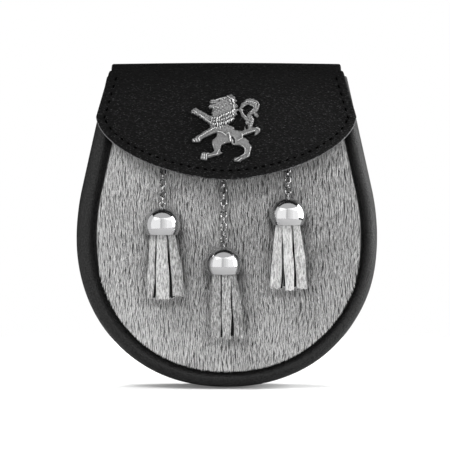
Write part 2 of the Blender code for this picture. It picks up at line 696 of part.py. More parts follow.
def add_ball(name, middle, links, group, guides):
    """A hollow turned cap, open below, with a soldered eye that stands across the last link."""
    inner = BALL_RADIUS - BALL_WALL
    outer_end = math.acos(-BALL_CUT / BALL_RADIUS)
    inner_end = math.acos(-BALL_CUT / inner)
    points = []
    for radius, start, end, steps in (
        (BALL_RADIUS, 0.0, outer_end, BALL_OUTER_STEPS),
        (inner, inner_end, 0.0, BALL_INNER_STEPS),
    ):
        for turn in np.linspace(start, end, steps):
            points.append((radius * math.sin(turn), 0.0, radius * math.cos(turn)))
    mesh = bpy.data.meshes.new(name)
    mesh.from_pydata(points, [(i, i + 1) for i in range(len(points) - 1)], [])
    piece = add_object(name, mesh, "chrome", group)
    turn_profile(piece, BALL_SIDES)
    piece.location = middle
    bpy.ops.mesh.primitive_torus_add(
        major_radius=EYE_RADIUS,
        minor_radius=EYE_WIRE / 2,
        major_segments=EYE_STEPS,
        minor_segments=EYE_SIDES,
    )
    eye = bpy.context.active_object
    eye.name = f"{name}_eye"
    for owner in list(eye.users_collection):
        owner.objects.unlink(eye)
    guides.objects.link(eye)
    upright = Matrix.Rotation(math.radians(90.0), 4, "X")
    quarter = Matrix.Rotation(math.radians(90.0 * ((links + 1) % 2)), 4, "Z")
    raised = Vector((0.0, 0.0, BALL_RADIUS + EYE_HEIGHT))
    eye.matrix_world = Matrix.Translation(middle + raised) @ quarter @ upright
    unite(piece, eye)


def strip_points(mouth_deg, end_x, end_depth, end_deg, width, drop):
    """Sections of one suede strip from inside the head down to its cut end.

    The middle runs from the mouth's ring to the end's place, a little faster at first, and the
    strip's face turns with it. Depths are counted towards the front, from the ball's middle."""
    level = np.array((*STRIP_LEVELS, drop))
    share = (level - level[0]) / (level[-1] - level[0])
    ease = share * (1.0 + STRIP_EASE * (1.0 - share))
    mouth = math.radians(mouth_deg)
    turn = mouth + (math.radians(end_deg) - mouth) * ease
    x = STRIP_MOUTH_RADIUS * math.sin(mouth) * (1.0 - ease) + end_x * ease
    depth = STRIP_MOUTH_RADIUS * math.cos(mouth) * (1.0 - ease) + end_depth * ease
    half = (STRIP_MOUTH_WIDTH + (width - STRIP_MOUTH_WIDTH) * ease) / 2
    side = np.array([1.0, -1.0])[None, :]
    across_x = (half * np.cos(turn))[:, None] * side
    across_depth = (-half * np.sin(turn))[:, None] * side
    height = np.broadcast_to(-level[:, None], across_x.shape)
    return np.stack([x[:, None] + across_x, -(depth[:, None] + across_depth), height], axis=-1)


def strips_mesh(name, strips):
    """Every strip of one tassel as a closed slab, in one mesh."""
    bm = bmesh.new()
    for row in strips:
        outer = strip_points(*row)
        run = np.gradient(outer.mean(axis=1), axis=0)
        inward = np.cross(outer[:, 0] - outer[:, 1], run)
        inward /= np.linalg.norm(inward, axis=1, keepdims=True)
        inner = outer + STRIP_THICKNESS * inward[:, None, :]
        ring = np.stack([outer[:, 0], outer[:, 1], inner[:, 1], inner[:, 0]], axis=1)
        verts = [[bm.verts.new(point) for point in section] for section in ring.tolist()]
        for upper, lower in zip(verts[:-1], verts[1:]):
            for side in range(4):
                after = (side + 1) % 4
                bm.faces.new((upper[side], upper[after], lower[after], lower[side]))
        bm.faces.new(verts[0])
        bm.faces.new(verts[-1])
    bmesh.ops.recalc_face_normals(bm, faces=bm.faces)
    return mesh_from(bm, name)


def add_tassel_strips(name, middle, strips, group, guides):
    """Suede strips fused to the round head that fills the ball."""
    bm = bmesh.new()
    low = Matrix.Translation((0.0, 0.0, (HEAD_TOP - HEAD_LOW) / 2))
    bmesh.ops.create_cone(
        bm,
        cap_ends=True,
        segments=HEAD_SIDES,
        radius1=HEAD_RADIUS,
        radius2=HEAD_RADIUS,
        depth=HEAD_TOP + HEAD_LOW,
        matrix=low,
    )
    piece = add_object(name, mesh_from(bm, name), "suede_strips", group)
    guide = add_object(f"{name}_cut", strips_mesh(f"{name}_cut", strips), "suede_strips", guides)
    piece.location = middle
    guide.location = middle
    unite(piece, guide)


def add_tassels(group, guides):
    link = link_curve()
    for side, x, height, links in TASSELS:
        staple, eye = chain_ends(x, height, links)
        middle = ball_middle(x, height)
        add_staple(f"staple_{side}", staple, group)
        add_chain(f"chain_{side}", staple, eye, links, link, group)
        add_ball(f"ball_{side}", middle, links, group, guides)
        add_tassel_strips(f"tassel_{side}", middle, STRIPS[side], group, guides)


def build():
    clear_scene()
    group = new_collection(COLLECTION)
    guides = new_collection("joining_shapes")
    add_back_panel(group)
    add_gusset(group)
    add_fur_front(group)
    add_flap(group)
    add_belt_loop("belt_loop_left", -LOOP_SPACING / 2, group)
    add_belt_loop("belt_loop_right", LOOP_SPACING / 2, group)
    add_snap_stud(group)
    add_badge(group, guides)
    add_tassels(group, guides)


build()
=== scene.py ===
"""A sporran pouch, dressed: pebbled black leather with its stitching, grey hair on the hide, a cast
lion, chrome balls on fine chains and suede strips, on a pale floor in soft studio light.

Metres, +Z up, and the front faces -Y. A height is measured up from the pouch's lowest point, and a
depth forward from the rear face of the back panel.
"""

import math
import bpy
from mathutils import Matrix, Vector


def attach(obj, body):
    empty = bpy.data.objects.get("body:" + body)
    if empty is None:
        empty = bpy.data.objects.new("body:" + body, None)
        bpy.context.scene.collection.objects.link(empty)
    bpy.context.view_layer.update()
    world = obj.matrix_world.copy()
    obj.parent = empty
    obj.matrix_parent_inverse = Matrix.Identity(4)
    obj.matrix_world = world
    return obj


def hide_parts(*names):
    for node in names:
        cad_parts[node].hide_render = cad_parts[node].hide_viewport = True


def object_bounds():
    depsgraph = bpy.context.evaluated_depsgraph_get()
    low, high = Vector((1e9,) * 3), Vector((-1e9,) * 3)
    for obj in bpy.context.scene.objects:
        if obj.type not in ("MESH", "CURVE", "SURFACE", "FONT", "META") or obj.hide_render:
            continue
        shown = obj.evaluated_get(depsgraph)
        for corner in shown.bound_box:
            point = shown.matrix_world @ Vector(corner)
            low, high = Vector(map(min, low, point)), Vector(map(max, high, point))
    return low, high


bl_info = {
    "name": "Sporran Pouch",
    "version": (1, 0, 0),
    "blender": (4, 5, 0),
    "location": "View3D > Sidebar > Sporran",
    "description": "Dresses the frame of a sporran pouch in leather, hair, metal and suede",
    "category": "Add Mesh",
}

import bmesh
import bpy
import numpy as np
from bpy.props import FloatProperty, FloatVectorProperty, PointerProperty
from mathutils import Vector

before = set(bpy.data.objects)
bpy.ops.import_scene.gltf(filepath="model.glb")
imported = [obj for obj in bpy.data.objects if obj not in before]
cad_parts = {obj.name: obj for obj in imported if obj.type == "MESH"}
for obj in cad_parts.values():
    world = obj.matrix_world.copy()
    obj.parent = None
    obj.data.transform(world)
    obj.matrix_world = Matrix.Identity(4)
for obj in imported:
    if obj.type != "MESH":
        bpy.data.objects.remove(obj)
CAD_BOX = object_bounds()

# ---- where the origin lies, and the gap that touching pieces keep ----
ORIGIN_HEIGHT = 0.1500
REAR_FACE_Y = -0.0032
GAP = 0.0003
BACKWARD = (0.0, 1.0, 0.0)
SEAM_EASE = 0.0004  # clear space between the hide and the rim around it

# ---- outline: a superellipse below, then an arc and a straight taper up to the mouth ----
ROUND_POWER = 2.13
SIDE_RADIUS = 0.135
SIDE_TAPER = 0.217
BODY_TOP = 0.1866
BACK_TOP = 0.1875
FUR_TOP = 0.1800

# ---- depth of the front, which is thinner towards the mouth and crowned in the middle ----
DEPTH_LOSS = 0.0100
NARROW_FROM = 0.0800
NARROW_TO = 0.1870
CROWN_CENTRE = 0.0950
CROWN_HALF_WIDTH = 0.0800
CROWN_DOWN = 0.0830
CROWN_UP = 0.1150

# ---- side wall ----
RIM_SKEW = 0.0011  # how much wider the rim is on the left and narrower on the right
BACK_THICKNESS = 0.0020
CREST_SHARE = 0.60
ROLL_HEIGHT = 0.0090
WALL_HOLLOW = 0.0005
REAR_ROUND = 0.0045
REAR_FLANGE = 0.0090
FRONT_FLANGE = 0.0032
FUR_EDGE_DROP = 0.0006
RIM_UNEVEN = 0.00012
BACK_INSET = 0.0010
REAR_SEAM_TOP = 0.1680
REAR_SEAM_INSET = 0.0058

# ---- flap ----
FLAP_TOP = 0.1932
FLAP_TOP_BOW = 0.0006
FLAP_TOP_HALF = 0.0683
FLAP_CORNER_HALF = 0.0771
FLAP_SHIFT = -0.0004
FLAP_CORNER = 0.1615
FLAP_CURVE_POWER = 1.7
FLAP_CURVE_ROOT = 0.56
LIFT_FROM = 0.1850
LIFT_FULL = 0.1260
LIFT_EASE = 1.2
LIFT_SIDE_LOSS = 0.6
FLAP_TAIL_LOW = 0.1740
FLAP_RIM_WEAR_AND_HIGHLIGHT = (0.2, 1.0, 0.6, 0.1, 0.0)  # how much of the burnished edge colour each ring of the rim takes, from the front to the rear: partly wear, partly a painted highlight
REAR_BEND = 0.0045
FRONT_BEND = 0.0055
FOLD_SHADE_LENGTH = 0.0280  # how far down the painted shade over the turn at the top reaches
DIMPLE_REACH = 0.0008
TAIL_SEAM_RISE = 0.0042
TAIL_SEAM_INSET = 0.0040
LEAF_UNEVEN = 0.00016

# ---- rear loops ----
STRAP_SPACE = 0.0064
LOOP_HALF_LENGTH = 0.0220
LOOP_RISE_FROM = 0.0157
LOOP_RISE = 0.0044
LOOP_THICKNESS = 0.0020
LOOP_SEAMS = (0.0181, 0.0203)
LOOP_SEAM_INSET = 0.0030

# ---- coat: its reach, its locks, and what lightens or darkens a hair, with painted shade ----
HIDE_THICKNESS = 0.0030
COAT_LOW = 0.0040
COAT_HIGH = 0.1700
COAT_UNDER_FLAP = 0.0075
COAT_MARGIN = 0.0006
SHORTEST_HAIR = 0.0012
LOCK_LENGTH = 0.0027
LOCK_TABLE = (400, 120)  # columns and rows of locks before they repeat
HAIR_TONE = 0.67
HAIR_TONE_SPREAD = 0.12
LOCK_TONE = 0.10
# the partings between locks: dark under-hair, and painted shade
PARTING_SHADE = 0.60
# painted shade: how much darker a hair is made round a ball, under a chain and beside a bundle of strips
BALL_SHADE = 0.30
CHAIN_SHADE = 0.34
STRIP_SHADE = 0.16
SHADE_REACH = 0.0020  # how far the painted shade of a ball or a chain reaches on the hair beside it
STRIP_SHADE_REACH = 0.0035
SHADING_BALL = 0.0103
BUNDLE_LENGTH = 0.0450
BUNDLE_SHIFT = 0.0010
BUNDLE_HALF_WIDTH = 0.0080
BUNDLE_FLARE = 0.0035

# ---- chains, balls and strips ----
LINK_CLEARANCE = 0.0002
STAPLE_WIRE = 0.0008
STAPLE_REACH = 0.0025
STAPLE_RADIUS = 0.0020
BALL_WALL = 0.0010
BALL_CUT = 0.0052
BALL_STANDOFF = 0.0008
EYE_RADIUS = 0.0017
EYE_WIRE = 0.0008
EYE_HEIGHT = 0.0013
HEAD_RADIUS = 0.0065
HEAD_TOP = 0.0030
HEAD_LOW = 0.0048
STRIP_MOUTH_RADIUS = 0.0067
STRIP_MOUTH_WIDTH = 0.0054
STRIP_EASE = 0.45
STRIP_TOP = 0.0035
SOLDER_RADIUS = 0.0009
SOLDER_HEIGHT = 0.0006

# ---- stage: where the lights aim, the middle of the view, and the floor ----
AIM = (0.0, -0.0200, -0.0500)
VIEW_CENTRE = (-0.00114, -0.0370, -0.0527)
FLOOR_DROP = 0.0002
FLOOR_FADE = (0.30, 0.36)

# Each tassel: name, sideways place, height of the ball's middle, number of links.
TASSELS = (
    ("left", -0.0376, 0.0976, 7),
    ("middle", -0.0019, 0.0747, 12),
    ("right", 0.0356, 0.1032, 6),
)

# Each strip: its turn round the mouth, then at its cut end the sideways place, the depth from the
# ball's middle, the turn, the width and the drop.
STRIPS = {
    "left": (
        (-60, -0.0070, 0.0030, -8, 0.0042, 0.0422),
        (-4, 0.0004, 0.0044, 2, 0.0083, 0.0434),
        (56, 0.0097, 0.0020, 14, 0.0077, 0.0416),
        (112, 0.0052, -0.0030, 156, 0.0060, 0.0430),
        (180, 0.0000, -0.0044, 184, 0.0074, 0.0422),
        (-118, -0.0064, -0.0032, -160, 0.0056, 0.0428),
    ),
    "middle": (
        (-42, -0.0045, 0.0034, -6, 0.0059, 0.0430),
        (14, 0.0017, 0.0044, 0, 0.0055, 0.0436),
        (62, 0.0092, 0.0026, 14, 0.0062, 0.0431),
        (116, 0.0060, -0.0028, 150, 0.0066, 0.0424),
        (180, 0.0006, -0.0044, 180, 0.0072, 0.0432),
        (-116, -0.0046, -0.0030, -164, 0.0056, 0.0428),
    ),
    "right": (
        (-60, -0.0074, 0.0030, -8, 0.0067, 0.0424),
        (-13, 0.0009, 0.0044, 2, 0.0058, 0.0436),
        (46, 0.0082, 0.0028, 10, 0.0067, 0.0428),
        (114, 0.0050, -0.0028, 156, 0.0060, 0.0424),
        (180, -0.0004, -0.0044, 178, 0.0074, 0.0420),
        (-116, -0.0058, -0.0030, -158, 0.0062, 0.0430),
    ),
}

# How much lighter or darker the suede of each tassel is made.
NAP_TONES = {"left": 0.03, "middle": -0.09, "right": 0.13}

# ---- the cast lion's place, and then its shape in millimetres from its middle ----
BADGE_HEIGHT = 0.1543
BADGE_X = -0.0004
BADGE_REACH = 0.0190
LION_REACH = 22.8
LION_WALL = 0.75
LION_ROUNDING = 0.95
LION_SINK = 0.55  # how far its top lies below the heights that its strokes give
LION_BLEND = 0.22  # over what distance neighbouring strokes run together
LION_RAGGED = 0.28

# Each stroke: x0, z0, radius0, x1, z1, radius1, height.
LION = (
    (-2.9, -1.0, 3.6, 1.7, -1.9, 3.2, 2.5),  # trunk
    (1.1, -3.9, 3.5, 7.0, -4.9, 3.0, 2.4),
    (-3.6, -4.6, 2.0, 1.1, -6.9, 2.6, 2.2),
    (-7.5, 1.4, 2.3, -2.2, 0.7, 3.2, 2.6),  # breast and mane
    (-5.5, 4.0, 4.4, 1.1, 5.7, 3.5, 2.8),
    (-3.6, 8.3, 5.0, 2.4, 9.6, 3.8, 3.0),
    (-0.6, 12.9, 4.0, 4.0, 12.9, 2.3, 3.0),
    (-2.2, 15.6, 3.1, 2.6, 16.9, 3.1, 2.9),  # head
    (0.7, 17.9, 2.1, 2.9, 19.7, 0.9, 2.0),
    (-8.1, 15.4, 1.8, -2.2, 14.9, 3.3, 2.6),
    (-9.2, 12.9, 1.3, -3.6, 12.3, 2.6, 2.4),
    (4.4, 16.4, 1.3, 6.0, 16.6, 0.4, 1.6),  # locks
    (4.4, 13.8, 1.3, 6.5, 13.8, 0.4, 1.6),
    (4.0, 11.0, 1.3, 6.6, 10.6, 0.4, 1.6),
    (3.7, 8.3, 1.3, 6.2, 8.3, 0.4, 1.6),
    (2.4, 5.7, 1.3, 4.6, 5.4, 0.5, 1.6),
    (-8.6, 4.1, 2.6, -13.8, 7.5, 2.0, 2.3),  # forelegs
    (-13.8, 7.5, 1.9, -17.8, 10.0, 1.9, 2.1),
    (-17.8, 10.0, 1.8, -19.7, 9.8, 1.2, 1.9),
    (-6.6, -1.0, 2.3, -12.2, -3.9, 1.8, 2.3),
    (-12.2, -3.9, 1.7, -16.6, -6.6, 1.7, 2.1),
    (-18.8, -7.7, 1.4, -16.1, -7.7, 1.3, 1.9),
    (-2.2, -6.9, 3.5, -5.5, -9.2, 2.9, 2.5),  # hind legs
    (-5.5, -9.9, 2.8, -5.2, -13.9, 1.8, 2.3),
    (-5.2, -15.4, 1.6, -9.5, -17.2, 1.2, 2.0),
    (-9.5, -17.0, 1.3, -12.8, -17.0, 2.1, 2.1),
    (-14.2, -18.5, 1.1, -12.0, -19.2, 0.9, 1.6),
    (-5.0, -15.5, 1.3, -2.9, -15.5, 0.5, 1.6),
    (5.4, -8.2, 2.8, 9.7, -8.6, 2.6, 2.4),
    (10.0, -9.2, 2.6, 12.7, -12.2, 2.1, 2.3),
    (12.7, -12.2, 2.0, 12.2, -16.5, 1.7, 2.1),
    (12.0, -16.8, 1.6, 7.7, -19.0, 1.4, 1.9),
    (5.7, -19.5, 1.4, 7.7, -20.1, 1.0, 1.9),
    (11.0, -8.9, 1.3, 12.4, -8.4, 0.7, 1.6),
    (11.3, -1.9, 0.7, 10.9, 0.4, 0.25, 1.3),  # spike and web of the tail
    (5.6, 11.2, 0.5, 8.9, 11.3, 0.5, 1.0),
)

# The tail's curls: places with radii that a smooth curve runs through, and a height.
CURLS = (
    (((7.7, -4.0, 1.6), (12.0, -2.8, 1.25), (15.5, -1.3, 1.25), (18.2, -0.9, 1.3)), 2.0),
    (((18.6, -1.2, 1.1), (18.4, -2.4, 0.75), (16.9, -4.3, 0.35)), 1.6),
    (
        (
            (13.9, -1.0, 1.0), (13.9, 0.8, 0.8), (14.1, 2.6, 1.2), (14.6, 4.4, 1.35), (14.2, 6.2, 1.15),
            (12.5, 8.2, 0.5),
        ),
        1.8,
    ),
    (((13.4, 4.4, 0.9), (12.4, 3.7, 0.7), (12.3, 2.6, 0.45)), 1.5),
    (
        (
            (13.4, 5.4, 0.8), (12.3, 5.2, 0.8), (10.8, 6.6, 0.75), (9.3, 8.8, 0.7), (8.75, 11.2, 0.65),
            (9.5, 13.5, 0.8), (11.9, 15.6, 1.3), (14.3, 16.0, 1.75), (16.6, 15.1, 1.95), (17.8, 13.2, 1.5),
            (17.0, 11.2, 1.1), (15.2, 9.6, 0.95), (13.9, 8.8, 0.5),
        ),
        1.7,
    ),
    (((15.8, 9.8, 0.8), (17.4, 8.4, 0.7), (18.1, 6.8, 0.35)), 1.5),
)

# Raised lines: points, radius, height.
RIDGES = (
    (((0.4, -3.9), (1.4, -3.4), (2.0, -5.0), (2.6, -9.9)), 0.36, 0.60),
    (((3.1, -9.9), (5.4, -11.2), (9.7, -11.6), (11.0, -12.9), (10.7, -16.2), (8.7, -17.6)), 0.30, 0.50),
    (((9.2, -3.9), (9.4, -6.6), (6.7, -8.2)), 0.30, 0.50),
    (((-4.9, -2.6), (-2.4, -3.2), (-0.2, -4.9)), 0.38, 0.55),
    (((-7.9, -10.5), (-6.9, -14.5), (-11.2, -16.1)), 0.35, 0.45),
    (((-10.5, -17.4), (-5.6, -16.4), (-4.2, -13.9)), 0.35, 0.45),
    (
        ((15.4, 13.8), (12.8, 14.2), (10.9, 13.8), (9.5, 12.4), (9.1, 10.8), (9.9, 8.6), (11.9, 6.4)),
        0.26, 0.40,
    ),
    (((15.4, 13.8), (16.1, 12.9), (15.6, 11.4), (14.6, 9.9)), 0.26, 0.40),
    (((18.2, 16.3), (19.5, 15.2), (19.2, 13.6)), 0.28, 0.40),
    (((15.1, 6.2), (15.7, 4.6), (14.7, 2.8), (14.0, 0.8)), 0.28, 0.40),
    (((-8.9, 16.4), (-6.6, 16.5), (-4.2, 17.4), (-0.6, 18.6)), 0.40, 0.35),  # brow and muzzle
    (((-9.6, 13.4), (-7.6, 12.6), (-5.6, 12.4)), 0.40, 0.35),
    (((-19.9, 9.2), (-18.6, 8.6)), 0.40, 0.45),  # toes
    (((-19.2, 10.6), (-17.6, 9.2)), 0.40, 0.45),
    (((-19.4, -7.4), (-18.6, -8.8)), 0.40, 0.45),
    (((-17.8, -7.0), (-17.2, -8.6)), 0.40, 0.45),
    (((-16.2, -6.8), (-15.6, -8.2)), 0.40, 0.45),
    (((-14.0, -16.4), (-14.2, -18.8)), 0.40, 0.45),
    (((-12.9, -16.4), (-13.0, -19.4)), 0.40, 0.45),
    (((-11.7, -16.6), (-11.6, -19.3)), 0.40, 0.45),
    (((7.4, -18.4), (5.2, -19.7)), 0.40, 0.45),
    (((8.8, -18.9), (6.8, -20.6)), 0.40, 0.45),
    (((17.6, -0.2), (19.6, -1.0), (19.7, -2.2)), 0.40, 0.50),
)

# Sunk lines: points, radius, depth.
HOLLOWS = (
    (((-10.2, 14.7), (-8.6, 14.4), (-6.2, 14.6)), 0.26, 0.5),  # mouth
    (((-4.5, 16.1), (-3.9, 16.2)), 0.42, 0.7),  # eye
    (((0.2, 14.2), (-0.4, 12.6), (-2.4, 11.0), (-5.2, 10.4), (-8.0, 10.6)), 0.30, 0.15),  # jaw
    (((3.6, -6.2), (4.6, -7.6), (4.6, -9.2)), 0.70, 0.7),  # flank
    (((18.2, 14.8), (18.6, 13.8)), 0.30, 0.7),
)

# Rows of tufts: points that the row runs through, how many, length, radius, height, lean.
TUFTS = (
    (
        ((-8.2, 5.6), (-4.6, 5.7), (-2.6, 7.0), (0.4, 8.3), (2.7, 9.3), (5.0, 11.0)),
        11, 1.5, 0.50, 0.75, -20,
    ),
    (((-8.6, 3.8), (-3.6, 4.2), (0.4, 5.8), (4.2, 8.0)), 10, 1.1, 0.42, 0.55, -16),
    (((-7.6, 1.8), (-3.6, 2.3), (-0.6, 2.9), (1.4, 4.0), (3.9, 5.4)), 11, 1.5, 0.50, 0.80, -10),
    (((-8.0, -0.6), (-4.6, -0.4), (-2.4, 0.6)), 6, 1.0, 0.40, 0.50, 10),
    (((-7.6, 12.6), (-4.6, 12.2), (-1.6, 12.8), (-0.3, 14.6)), 7, 0.7, 0.34, 0.35, -8),
    (((1.0, 19.0), (3.6, 16.9), (4.4, 14.3), (4.2, 11.6), (4.0, 9.6)), 11, 1.2, 0.45, 0.65, 55),
    (((-2.6, 17.6), (0.2, 18.4), (2.0, 17.0), (2.6, 14.6)), 7, 1.0, 0.36, 0.40, 40),
    (((-15.6, 7.8), (-12.0, 5.0), (-8.4, 2.4)), 9, 1.0, 0.42, 0.60, 35),
    (((-6.6, -0.2), (-11.2, -3.0), (-15.6, -5.9)), 9, 1.0, 0.42, 0.60, -55),
    (((14.2, -12.4), (13.9, -15.4), (12.4, -17.8)), 8, 1.0, 0.38, 0.50, 70),
    (((9.9, -4.4), (13.0, -3.0), (16.3, -2.0)), 8, 0.9, 0.38, 0.50, -30),
    (((12.2, 16.2), (15.4, 16.2), (17.9, 14.8)), 6, 1.1, 0.38, 0.45, -50),
    (((14.6, 6.4), (15.6, 3.6), (14.8, 1.2)), 5, 0.9, 0.34, 0.40, 30),
    (((-1.0, -9.6), (-2.8, -11.8), (-3.4, -14.4)), 5, 0.8, 0.34, 0.40, 30),
)


# ---------------------------------------------------------------- what a user would change
def number(name, description, default, **settings):
    return FloatProperty(name=name, description=description, default=default, **settings)


def length(name, description, default):
    return number(name, description, default, min=0.0, max=1.0, unit="LENGTH", precision=5)


def share(name, description, default):
    return number(name, description, default, min=0.0, max=1.0, subtype="FACTOR", precision=3)


def colour(name, description, default):
    return FloatVectorProperty(
        name=name, description=description, default=default, min=0.0, max=1.0, size=3, subtype="COLOR"
    )


class PouchSizes(bpy.types.PropertyGroup):
    half_width: length("Half Width", "From the middle to the widest place", round(CAD_BOX[1].x, 5))
    widest_height: length("Widest Height", "Height of the widest place", 0.0900)
    depth: length("Depth", "Depth of the pouch at the crest of its rim", 0.0340)
    crown: length("Crown", "How far the fur front bulges", 0.0040)
    rim_side: length("Rim at the Sides", "Width of the leather rim at the sides", 0.0114)
    rim_bottom: length("Rim at the Bottom", "Width of the leather rim at the bottom", 0.0106)
    groove: length("Groove", "How far the seam lies behind the rim's crest", 0.0039)
    wall: length("Wall", "Thickness of the side wall's leather", 0.0018)
    flap_thickness: length("Flap Thickness", "Thickness of the flap's leather", 0.0025)
    flap_drop: length("Flap Drop", "From the flap's corners to its lowest point", 0.0375)
    flap_lift: length("Flap Lift", "How far the flap's lower edge stands off", 0.0070)
    loop_spacing: length("Loop Spacing", "Between the middles of the rear loops", 0.0900)
    loop_width: length("Loop Width", "Width of a rear loop", 0.0240)


class StitchSizes(bpy.types.PropertyGroup):
    pitch: length("Pitch", "From one stitch to the next", 0.0048)
    stitch: length("Stitch", "Length of one stitch", 0.0020)
    thread: length("Thread", "Thickness of the thread", 0.0009)
    inset: length("Inset", "From the leather's edge to the stitching", 0.0052)
    dimple: length("Dimple", "How deep a stitch pulls the leather in", 0.0006)


class LeatherLook(bpy.types.PropertyGroup):
    colour: colour("Colour", "The dyed face", (0.0050, 0.0050, 0.0051))
    edge: colour("Edge", "The cut and burnished edges", (0.055, 0.055, 0.056))
    thread: colour("Thread", "The sewing thread", (0.0004, 0.0004, 0.0004))
    rim: colour("Rim", "The smoother leather of the side wall", (0.0130, 0.0130, 0.0130))
    lining: colour("Lining", "The flesh side", (0.020, 0.020, 0.020))
    grain: length("Grain", "Size of one pebble of the grain", 0.0013)
    grain_depth: length("Grain Depth", "Height of the pebbles", 0.00022)
    gloss: share("Roughness", "Roughness of the dyed face", 0.48)


class FurLook(bpy.types.PropertyGroup):
    dark: colour("Dark", "The darkest hairs and the hide", (0.040, 0.040, 0.040))
    middle: colour("Middle", "Most hairs", (0.270, 0.270, 0.268))
    light: colour("Light", "The lightest hairs", (0.680, 0.680, 0.676))
    spacing: length("Spacing", "Between the roots of neighbouring hairs", 0.00041)
    hair: length("Hair", "Length of a hair", 0.0040)
    thickness: length("Hair Thickness", "Width of a hair at its root", 0.00021)
    lift: length("Lift", "Height of the coat above the hide", 0.0010)
    lock: length("Lock", "Width of a lock of hairs", 0.0012)


class MetalLook(bpy.types.PropertyGroup):
    chrome: colour("Chrome", "The balls", (0.66, 0.66, 0.665))
    chain: colour("Chain", "The chains", (0.50, 0.50, 0.505))
    bright: colour("Antique Bright", "The casting's rubbed ridges", (0.78, 0.78, 0.78))
    middle: colour("Antique Middle", "The casting's faces", (0.25, 0.25, 0.25))
    dark: colour("Antique Dark", "The casting's hollows", (0.020, 0.020, 0.021))
    relief: length("Relief Step", "Spacing of the points of the lion's relief", 0.00015)


class TasselLook(bpy.types.PropertyGroup):
    light: colour("Suede Light", "The raised nap", (0.52, 0.52, 0.517))
    dark: colour("Suede Dark", "The brushed nap", (0.10, 0.10, 0.099))
    ball_radius: length("Ball Radius", "Radius of a ball cap", 0.0103)
    link_length: length("Link Length", "Length of a chain link", 0.0054)
    link_width: length("Link Width", "Width of a chain link", 0.0039)
    link_wire: length("Link Wire", "Thickness of the link's wire", 0.00075)
    strip_thickness: length("Strip Thickness", "Thickness of the suede", 0.0014)


class StageLook(bpy.types.PropertyGroup):
    floor: colour("Floor", "The floor", (0.86, 0.86, 0.86))
    floor_glow: number("Floor Glow", "Light that the floor adds", 0.12, min=0.0)
    ambient: number("Ambient", "Light from all round", 0.18, min=0.0)
    tent: number("Tent", "Brightness of the white panels", 0.95, min=0.0)
    key: number("Key", "Soft light from the upper left", 7.0, unit="POWER")
    rear_light: number("Rear Light", "Light behind", 8.4, unit="POWER")
    lens: number("Lens", "Focal length", 135.0, unit="CAMERA")
    view_width: length("View Width", "Width of the view at the pouch's front", 0.2658)
    elevation: number("Elevation", "Camera's height above level", math.radians(1.2), subtype="ANGLE")


GROUPS = {
    "sporran_sizes": PouchSizes,
    "sporran_stitching": StitchSizes,
    "sporran_leather": LeatherLook,
    "sporran_fur": FurLook,
    "sporran_metal": MetalLook,
    "sporran_tassels": TasselLook,
    "sporran_stage": StageLook,
}


# ---------------------------------------------------------------- the pouch's formulas
def points_of(*columns):
    """Points or rows from their columns, each an array or one number."""
    return np.stack(np.broadcast_arrays(*columns), axis=-1)


def place(x, depth, height):
    """World points: y is the rear face's less the depth, and z the height less the origin's."""
    return points_of(x, REAR_FACE_Y - np.asarray(depth), np.asarray(height) - ORIGIN_HEIGHT)


def outward_of(x, height):
    """Unit directions square to a line in the plane of the front, to the right of its way."""
    run_x, run_height = np.gradient(x), np.gradient(height)
    run = np.maximum(np.hypot(run_x, run_height), 1e-9)
    return run_height / run, -run_x / run


def outline(size, top):
    """The U of the pouch from its left top round the bottom to its right top.

    Below, x = half width times sin(t)^(2/p) and height = widest height times (1 - cos(t)^(2/p));
    then an arc and a straight taper. Gives x, height and the outward direction's two parts."""
    turn = np.radians(np.linspace(0.0, 90.0, 71))
    power = 2.0 / ROUND_POWER
    round_x = size.half_width * np.sin(turn) ** power
    round_height = size.widest_height * (1.0 - np.cos(turn) ** power)
    arc = np.linspace(0.0, math.atan(SIDE_TAPER), 11)[1:]
    arc_x = size.half_width - SIDE_RADIUS * (1.0 - np.cos(arc))
    arc_height = size.widest_height + SIDE_RADIUS * np.sin(arc)
    straight_height = np.linspace(arc_height[-1], top, 25)[1:]
    straight_x = arc_x[-1] - SIDE_TAPER * (straight_height - arc_height[-1])
    x = np.concatenate([round_x, arc_x, straight_x])
    height = np.concatenate([round_height, arc_height, straight_height])
    x = np.concatenate([-x[:0:-1], x])
    height = np.concatenate([height[:0:-1], height])
    return x, height, *outward_of(x, height)


def closed_over_top(x, height, out_x, out_height, steps=40):
    """An outline closed by a level line from its right top back to its left top."""
    top_x = np.linspace(x[-1], x[0], steps + 2)[1:-1]
    return (
        np.concatenate([x, top_x]),
        np.concatenate([height, np.full(steps, height[-1])]),
        np.concatenate([out_x, np.zeros(steps)]),
        np.concatenate([out_height, np.ones(steps)]),
    )


def rim_width(size, out_x, out_height):
    """Width of the rim: its side value, easing to its bottom value with the cube of the slope."""
    side = size.rim_side - RIM_SKEW * out_x
    return size.rim_bottom + (side - size.rim_bottom) * (1.0 - np.abs(out_height) ** 3)


def front_depth(size, height):
    """Depth of the rim's crest: full low down, less a square law towards the mouth."""
    rise = np.clip((height - NARROW_FROM) / (NARROW_TO - NARROW_FROM), 0.0, None)
    return size.depth - DEPTH_LOSS * rise**2


def bulge(size, x, height):
    """Crown of the front: a paraboloid that ends at the rim."""
    reach = np.where(height < CROWN_CENTRE, CROWN_DOWN, CROWN_UP)
    apart = (x / CROWN_HALF_WIDTH) ** 2 + ((height - CROWN_CENTRE) / reach) ** 2
    return size.crown * np.clip(1.0 - apart, 0.0, None)


def fur_depth(size, x, height):
    """Depth of the hide: the crest's depth less a small step, plus the crown."""
    return front_depth(size, height) - FUR_EDGE_DROP + bulge(size, x, height)


def fur_edge(size):
    """Outline of the hide: the pouch's outline drawn in by the rim's width."""
    x, height, out_x, out_height = outline(size, FUR_TOP)
    inset = rim_width(size, out_x, out_height) + SEAM_EASE
    return x - inset * out_x, height - inset * out_height, out_x, out_height


